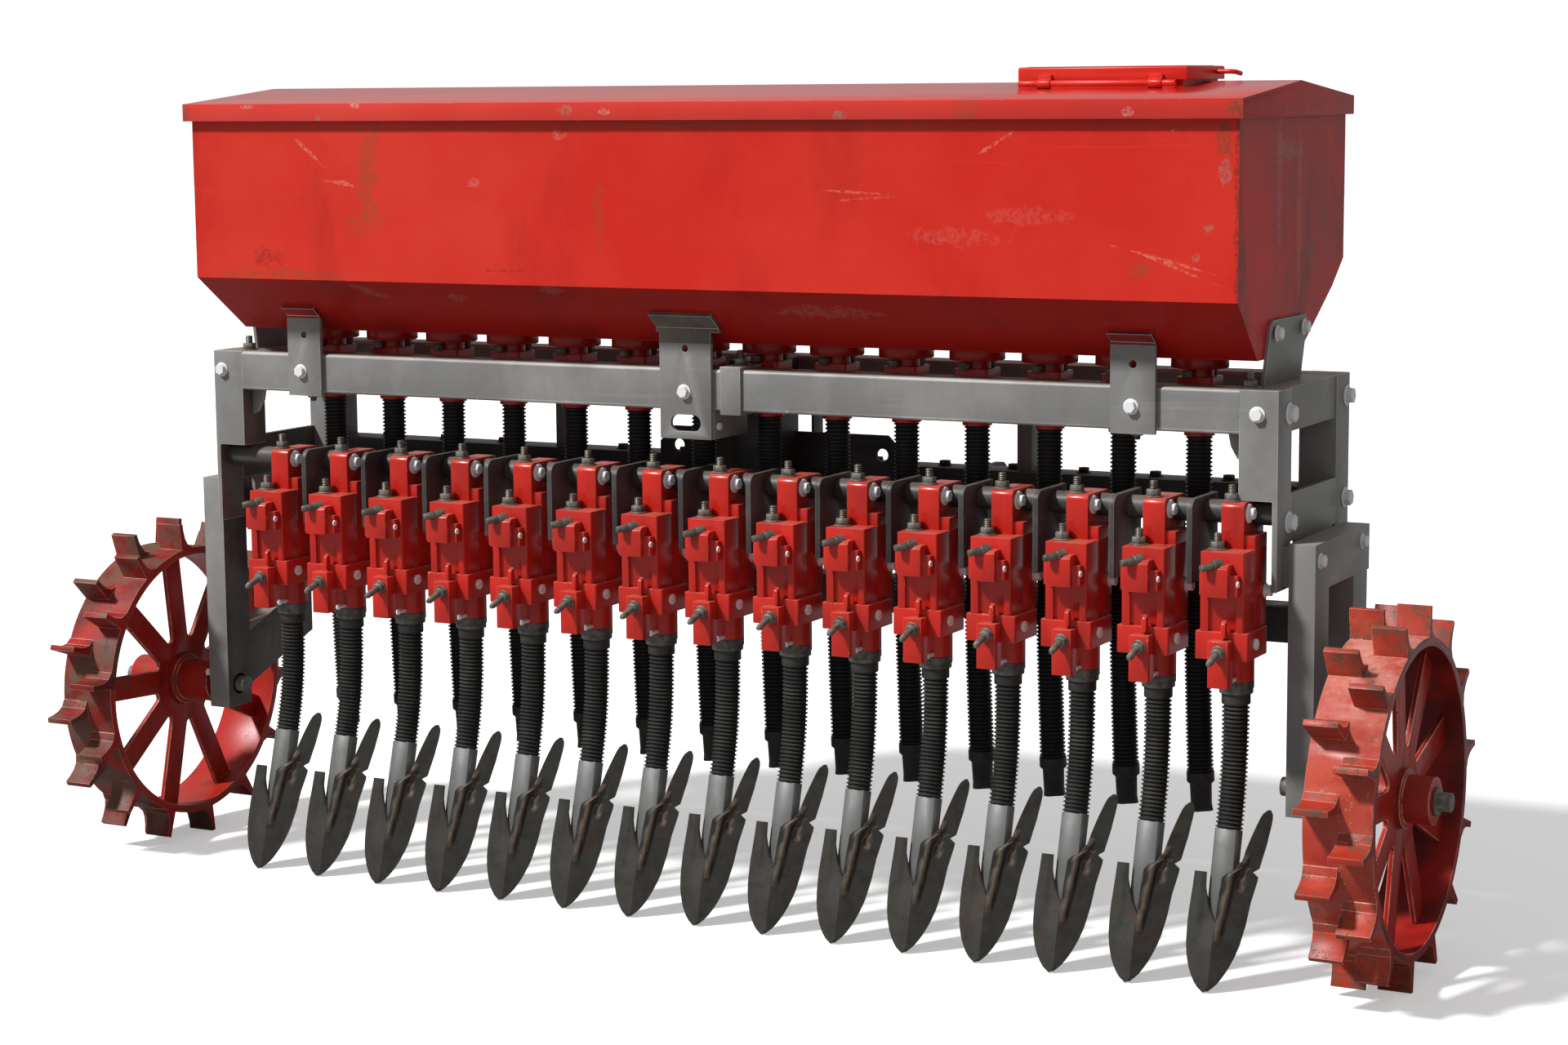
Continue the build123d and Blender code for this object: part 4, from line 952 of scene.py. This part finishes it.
# on every metering cup, from its axis
cupBolts = [("hexTall", -8, -22, 869, up), ("hexTall", 8, 40, 869, up)]
# on both hubs; columns: kind, distance from the middle, y, z
hubNut = ("hubNut", 1171.3, -56, 277.75)
boltTurn = 0.7
rowSet = {"count": 15, "spacing": 0.12, "shift": 0.043}
rowPlaces = spacedOut(**rowSet)
# sizes in metres, from a row's centre line; neck is where the thicker part ends, as a share of the length
pinSet = {
    "root": (0.003, -0.184, 0.6215), "tip": (-0.019, -0.211, 0.6165), "neck": 0.42,
    "body": 0.0075, "nose": 0.00645, "end": 0.0052, "soft": (0.0008, 0.0012),
}
latchSet = {
    "root": (0.0045, -0.198, 0.496), "tip": (0.0037, -0.238, 0.484), "neck": 0.86,
    "shaft": 0.0052, "end": 0.003224, "soft": 0.0006,
    # columns: name, radius, from, to, sides
    "rings": [("washer", 0.0105, 0, 0.0025, 20), ("nut", 0.0092, 0.0025, 0.009, 6),
              ("thin washer", 0.0078, 0.009, 0.0105, 16)],
}


def place(kind, x, y, z, direction, turn=0.0):
    matrix = along(direction, (x / 1000, y / 1000, z / 1000)) @ Matrix.Rotation(turn, 4, "Z")
    return copyOf(kinds[kind], matrix)


def boltGroup(name, rows, finish):
    pieces = [place(kind, *spot, turn=boltTurn * i) for i, (kind, *spot) in enumerate(rows)]
    group = settle(joined(pieces, name), "frame")
    if not group.data.materials:
        addFinishes(group, finish)
    smooth(group)


def axisOf(s):
    # where a pin starts, which way it points and how long it is
    root, tip = Vector(s["root"]), Vector(s["tip"])
    return root, tip - root, (tip - root).length


def handlePin():
    # a tapered pin with a shoulder, lying in the lock block
    s = pinSet
    root, way, length = axisOf(s)
    neck = length * s["neck"]
    body = roundPiece("pin", s["body"], 0, neck, 12)
    nose = roundPiece("nose", s["nose"], neck, length, 12, s["end"])
    bevelEdges(body, s["soft"][0], 1, 50)
    bevelEdges(nose, s["soft"][1], 2, 50)
    return joined([body, nose], "pin"), along(way, root)


def latchStud():
    s = latchSet
    root, way, length = axisOf(s)
    neck = length * s["neck"]
    parts = [roundPiece(*ring) for ring in s["rings"]]
    parts.append(roundPiece("shaft", s["shaft"], 0, neck, 12))
    parts.append(roundPiece("tip", s["shaft"], neck, length, 12, s["end"]))
    for part in parts:
        bevelEdges(part, s["soft"], 1, 50)
    return joined(parts, "latch"), along(way, root)


def onBothSides(rows):
    mirrored = [(kind, -x, y, z, left) for kind, x, y, z in rows]
    return [(kind, x, y, z, right) for kind, x, y, z in rows] + mirrored


def onEvery(spots, rows):
    # the rows of a table, set out again at each place along X
    return [(kind, 1000 * spot + x, y, z, way) for spot in spots for kind, x, y, z, way in rows]


def onEachRow(model, name, stand=Matrix.Identity(4)):
    # a copy of the model on every row, joined, with the model put away
    copies = [copyOf(model, Matrix.Translation((x, 0, 0)) @ stand) for x in rowPlaces]
    bpy.data.objects.remove(model)
    return joined(copies, name)


def makeFasteners():
    boltGroup("frame_bolts", frameBolts, boltZinc)
    boltGroup("side_bolts", onBothSides(sideBolts), boltZinc)
    boltGroup("row_bolts", onEvery(rowPlaces, rowBolts), boltZinc)
    boltGroup("rear_beam_bolts", onEvery(rowPlaces, beamBolts), boltDark)
    boltGroup("cup_bolts", onEvery(cupPlaces, cupBolts), boltZinc)
    for maker, name, finish in ((handlePin, "handle_pins", pinSteel), (latchStud, "latch_studs", boltZinc)):
        model, stand = maker()
        smooth(settle(onEachRow(model, name, stand), "frame", [finish]))
    for side, nut in zip(("right", "left"), onBothSides([hubNut])):
        boltGroup(f"{side}_hub_nut", [nut], nutGreen)
    for kind in kinds.values():
        bpy.data.objects.remove(kind)


makeFasteners()
print("fasteners made")

# a seed shovel's two wings, each in its own plane, in millimetres; columns: height, left edge, right edge
bladeSet = {
    "rake": math.atan(0.27), "turns": (math.radians(4), math.radians(24)), "tip": (0, -0.219, 0.0015),
    "thick": 0.008, "leftGrid": (9, 24), "rightGrid": (16, 44),
    "left": [
        (0, -7, -7), (3, -12, -1), (8, -17.5, 0), (15, -23, 0), (22, -27, 0), (30, -31, 0), (40, -34.5, 0),
        (50, -37.2, 0), (62, -39.4, 0), (75, -40.6, 0), (92, -41, 0), (103, -41, 0), (110, -41, -6),
        (125, -40, -14), (150, -38.5, -19), (173, -37.5, -20),
    ],
    "right": [
        (2, 0, 0.5), (8, 0, 7), (15, 0, 13.5), (25, 0, 20), (35, 0, 25.5), (45, 0, 30), (56, 0, 34.5),
        (71, 0, 39.5), (88, 0, 43), (103, 1.5, 46), (120, 2.5, 48), (136, 3, 50), (155, 4.5, 54),
        (165, 5, 56), (172, 6, 57.5), (174, 14, 56.5), (180, 22, 48), (183, 25, 57), (187, 29, 58),
        (200, 33, 60.5), (222, 39.5, 65), (230, 42, 66), (250, 49, 69), (263, 54, 70), (268, 58, 68),
        (271, 62, 66),
    ],
    # the raised tongue: its middle line by height, its half width and how far it stands up; it starts and
    # ends gently
    "rib": [(76, 6), (120, 12), (172, 19), (187, 33), (230, 46), (262, 57)],
    "ribWide": 5.5, "ribHigh": 4.2, "ribFoot": (70, 20), "ribTop": 202, "ribFade": 12,
    "rustFoot": 78, "rustWide": 4,
    # the notch: from and to across, then from and to in height, and its depth
    "slot": (28, 37, 150, 186), "slotDeep": 3.0,
    # the inner part of the left wing is pressed back: depth, where that starts and over how much
    "press": 2.4, "pressAcross": (-26, 8), "pressUp": (60, 45),
}


def bladeSheet(name, table, columns, rows, relief):
    # a grid laid between two edges, facing the front, with its height off the plane
    sheet = added(name, bpy.ops.mesh.primitive_grid_add, x_subdivisions=columns, y_subdivisions=rows, size=1)
    low, high = table[0][0], table[-1][0]
    for vertex in sheet.data.vertices:
        across, rise = vertex.co.x + 0.5, vertex.co.y + 0.5
        height = low + rise * (high - low)
        x = between(table, height, 1) * (1 - across) + between(table, height, 2) * across
        vertex.co = Vector((x, -relief(x, height), height)) / 1000
    return sheet


def fromRib(x, height):
    return abs(x - between(bladeSet["rib"], max(height, bladeSet["rib"][0][0]), 1))


def inSlot(x, height):
    x0, x1, z0, z1 = bladeSet["slot"]
    return x0 < x < x1 and z0 < height < z1


def rightRelief(x, height):
    s = bladeSet
    away = fromRib(x, height) / s["ribWide"]
    rib = s["ribHigh"] * math.sqrt(max(0.0, 1 - away * away)) * ramp(height, *s["ribFoot"])
    rib *= ramp(s["ribTop"] - height, 0, s["ribFade"])
    return rib - (s["slotDeep"] if inSlot(x, height) else 0.0)


def leftRelief(x, height):
    return -bladeSet["press"] * ramp(x, *bladeSet["pressAcross"]) * ramp(height, *bladeSet["pressUp"])


def rusted(face):
    # the flanks of the tongue and the floor of the notch
    x, z = face.center.x * 1000, face.center.z * 1000
    onRib = bladeSet["rustFoot"] < z < bladeSet["ribTop"] and fromRib(x, z) < bladeSet["rustWide"]
    return inSlot(x, z) or onRib


def makeShovels():
    s = bladeSet
    lefts = bladeSheet("left wing", s["left"], *s["leftGrid"], leftRelief)
    rights = bladeSheet("right wing", s["right"], *s["rightGrid"], rightRelief)
    for sheet in (lefts, rights):
        addFinishes(sheet, shovelSteel, shovelEdge, shovelRust)
    paintFaces(rights, lambda f: 2 if rusted(f) else 0)
    stand = Matrix.Translation(s["tip"]) @ Matrix.Rotation(-s["rake"], 4, "X")
    for sheet, turn in ((lefts, -s["turns"][0]), (rights, s["turns"][1])):
        sheet.data.transform(stand @ Matrix.Rotation(turn, 4, "Z"))
        modify(sheet, "SOLIDIFY", thickness=s["thick"], offset=-1, material_offset_rim=1)
        cutAcross(sheet, 2, [s["tip"][2]], clear_inner=True, use_fill=True)
        smooth(sheet, 40)
    shovels = onEachRow(joined([lefts, rights], "shovel"), "opener_shovels.blades")
    settle(shovels, "frame", nodes=["opener_shovels"])


makeShovels()
print("shovels made")

wheelSet = {
    "axle": (-0.056, 0.27775), "plate": 0.221, "count": 9, "lean": math.radians(6.5), "half": 0.0205,
    "root": 0.008, "far": 0.075, "reach": 0.03, "bore": 0.034, "soft": 0.0018,
    "windowSides": 28, "boreSides": 40, "plateSides": 144, "zones": (0.233, 0.238), "rimSoft": 0.0014,
    "right": (1.11, 1.118), "left": (-1.081, -1.073),
}


def windowCutter():
    # the hull of a small circle at the hub end and a large one beyond the rim
    s = wheelSet
    turn = math.pi / s["count"]
    rounds = []
    for radius in (s["root"], s["far"]):
        away = (radius + s["half"]) / math.sin(turn)
        ring = roundPiece("window", radius, -s["reach"], s["reach"], s["windowSides"])
        ring.data.transform(Matrix.Translation((away, 0, 0)))
        rounds.append(ring)
    cutter = joined(rounds, "window")
    inEditMode(cutter, selectAll, lambda: bpy.ops.mesh.convex_hull())
    return cutter


def spokePlate(side):
    s = wheelSet
    low, high = s[side]
    plate = roundPiece(f"{side}_spoke_plate", s["plate"], 0, high - low, s["plateSides"])
    window = windowCutter()
    step = 2 * math.pi / s["count"]
    cutters = [copyOf(window, Matrix.Rotation(step * (i + 0.5), 4, "Z")) for i in range(s["count"])]
    bpy.data.objects.remove(window)
    cutters.append(roundPiece("bore", s["bore"], -s["reach"], s["reach"], s["boreSides"]))
    cutWith(plate, joined(cutters, "windows"))
    # local X to up, local Z to the wheel's axis, first spoke leaning to the front
    turn = Matrix(((0, 0, 1, 0), (0, -1, 0, 0), (1, 0, 0, 0), (0, 0, 0, 1)))
    stand = Matrix.Translation((low, *s["axle"])) @ Matrix.Rotation(s["lean"], 4, "X") @ turn
    plate.data.transform(stand)
    inEditMode(plate, selectAll, lambda: bpy.ops.mesh.normals_make_consistent(inside=False))
    settle(plate, f"{side}_wheel", (redWheel, redWheelEdge), [f"{side}_wheel_spokes"])
    bevelEdges(plate, s["soft"], 2, 50, 1)
    smooth(plate, 40)


def dressRim(side, inside, tread, lug):
    # the inside of the rim, its tread and its cleats each in a finish of their own
    s = wheelSet
    rim = nodeCopy(f"{side}_wheel_rim")
    settle(rim, f"{side}_wheel", (inside, tread, lug, redWheelEdge), [f"{side}_wheel_rim"])

    def zone(face):
        away = math.hypot(face.center.y - s["axle"][0], face.center.z - s["axle"][1])
        return sum(away >= edge for edge in s["zones"])

    paintFaces(rim, zone)
    bevelEdges(rim, s["rimSoft"], 2, 30, 3)
    smooth(rim)


# the right rim's inside gets the dark red: painted shade
dressRim("right", redInsideShaded, redTread, brownLug)
dressRim("left", redWheel, muddyWheel, muddyWheel)
for side in ("right", "left"):
    spokePlate(side)
    skinOf(f"{side}_wheel_hub", (redWheel, redWheelEdge), 0.0014, f"{side}_wheel")
print("wheels made")

hoseSet = {
    "outer": 0.0202, "inner": 0.0172, "pitch": 0.0062, "rowSides": 20, "dropSides": 16, "collarSides": 24,
    # shares of one rib's length: where it is cut, its crest, and where its sides start and end
    "cuts": (0.2, 0.4, 0.6, 0.8), "crest": (0.3, 0.7), "flanks": (0.19, 0.81),
    # a drop hose from its cup; columns: x and y from the cup's axis, z
    "drop": [(0, 0, 0.781), (0, 0, 0.655), (-0.002, 0.003, 0.45), (0.004, 0.007, 0.272)],
    # a row hose from its neck to its opener tube; columns: y, z
    "row": [
        (-0.108, 0.441), (-0.108, 0.38675), (-0.111, 0.32705), (-0.11903125, 0.2701125), (-0.132, 0.224),
    ],
    # from, to, radius
    "cuff": (0.406, 0.424, 0.0212), "ring": (0.422, 0.431, 0.0248), "collarSoft": 0.0012,
    "boot": {"flute": 0.15, "from": 0.05, "outside": 0.0165, "slim": 0.87, "soft": 0.0006},
}


def routeCurve(points, name):
    data = bpy.data.curves.new(name, "CURVE")
    data.dimensions = "3D"
    data.resolution_u = 16
    line = data.splines.new("NURBS")
    line.points.add(len(points) - 1)
    for point, at in zip(line.points, points):
        point.co = (*at, 1)
    line.order_u = 3
    line.use_endpoint_u = True
    curve = bpy.data.objects.new(name, data)
    bpy.context.scene.collection.objects.link(curve)
    return curve


def routeLine(curve):
    # the points that the curve's own smooth line goes through, and its length
    mesh = bpy.data.meshes.new_from_object(curve)
    points = [v.co.copy() for v in mesh.vertices]
    bpy.data.meshes.remove(mesh)
    return points, sum((b - a).length for a, b in zip(points, points[1:]))


def ribbedTube(name, points, sides, ribFinish):
    # a length of ribs laid along X, bent along the route by a curve modifier
    s = hoseSet
    curve = routeCurve(points, name + ".route")
    line, length = routeLine(curve)
    count = max(2, round(length / s["pitch"]))
    pitch = length / count
    tube = baked(added(
        name, bpy.ops.mesh.primitive_cylinder_add, radius=s["inner"], depth=pitch, vertices=sides,
        end_fill_type="NOTHING", rotation=(0, math.pi / 2, 0), location=(pitch / 2, 0, 0),
    ))
    cutAcross(tube, 0, [pitch * share for share in s["cuts"]])
    for vertex in tube.data.vertices:
        out = s["outer"] if s["crest"][0] < vertex.co.x / pitch < s["crest"][1] else s["inner"]
        flat = Vector((0, vertex.co.y, vertex.co.z)).normalized() * out
        vertex.co = Vector((vertex.co.x, flat.y, flat.z))
    # the groove faces get the near-black rubber: painted shade in the grooves
    addFinishes(tube, ribFinish, grooveShadeRubber)
    paintFaces(tube, lambda f: 0 if s["flanks"][0] < f.center.x / pitch < s["flanks"][1] else 1)
    modify(tube, "ARRAY", count=count, relative_offset_displace=(1, 0, 0), use_merge_vertices=True,
           merge_threshold=0.00005)
    modify(tube, "CURVE", object=curve, deform_axis="POS_X")
    smooth(tube, 50)
    bpy.data.objects.remove(curve)
    return tube, line, length


def dropRoutes():
    return [[(cup + x, cupSet["y"] + y, z) for x, y, z in hoseSet["drop"]] for cup in cupPlaces]


def fluteBoot(boot, end, direction):
    # three shallow flutes towards the free end
    s = hoseSet["boot"]
    for vertex in boot.data.vertices:
        reach = vertex.co - end
        down = reach.dot(direction)
        out = reach - direction * down
        lobe = s["slim"]
        if down > s["from"] and out.length > s["outside"]:
            lobe += s["flute"] * math.cos(3 * math.atan2(out.y, out.x))
        vertex.co = end + direction * down + out * lobe


def makeBoots(routes):
    # one boot to each hose, from the frame's own pieces
    whole = nodeCopy("hose_boots")
    pick(whole)
    inEditMode(whole, selectAll, lambda: bpy.ops.mesh.separate(type="LOOSE"))
    boots = sorted([o for o in bpy.context.scene.objects if o.name.startswith("hose_boots.skin")],
                   key=lambda o: sum(v.co.x for v in o.data.vertices) / len(o.data.vertices))
    for i, (boot, route) in enumerate(zip(boots, routes)):
        boot.name = f"hose_boot_{i + 1:02d}"
        end, before = Vector(route[-1]), Vector(route[-2])
        fluteBoot(boot, end, (end - before).normalized())
        settle(boot, "frame", (bootRubber,))
        bevelEdges(boot, hoseSet["boot"]["soft"], 2, 30, 0)
        smooth(boot)
    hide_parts("hose_boots")
    return boots


def makeDropHoses():
    routes = dropRoutes()
    boots = makeBoots(routes)
    for i, (points, boot) in enumerate(zip(routes, boots)):
        hose, line, length = ribbedTube(f"drop_hose_{i + 1:02d}", points, hoseSet["dropSides"], dropRubber)
        settle(hose, "frame")
        if i == 0:
            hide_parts("drop_hoses")


def makeRowHoses():
    s = hoseSet
    hoses = []
    for i, x in enumerate(rowPlaces):
        points = [(x, y, z) for y, z in s["row"]]
        hoses.append(ribbedTube(f"row_hose_{i}", points, s["rowSides"], hoseRubber)[0])
        for key, finish in (("cuff", bootRubber), ("ring", clampSteel)):
            low, high, radius = s[key]
            collar = roundPiece(key, radius, low, high, s["collarSides"])
            bevelEdges(collar, s["collarSoft"], 2, 50)
            smooth(collar)
            addFinishes(collar, finish)
            collar.data.transform(Matrix.Translation((x, s["row"][0][0], 0)))
            hoses.append(collar)
    settle(joined(hoses, "row_hoses.ribbed"), "frame", nodes=["row_hoses"])


makeDropHoses()
makeRowHoses()
print("hoses made")
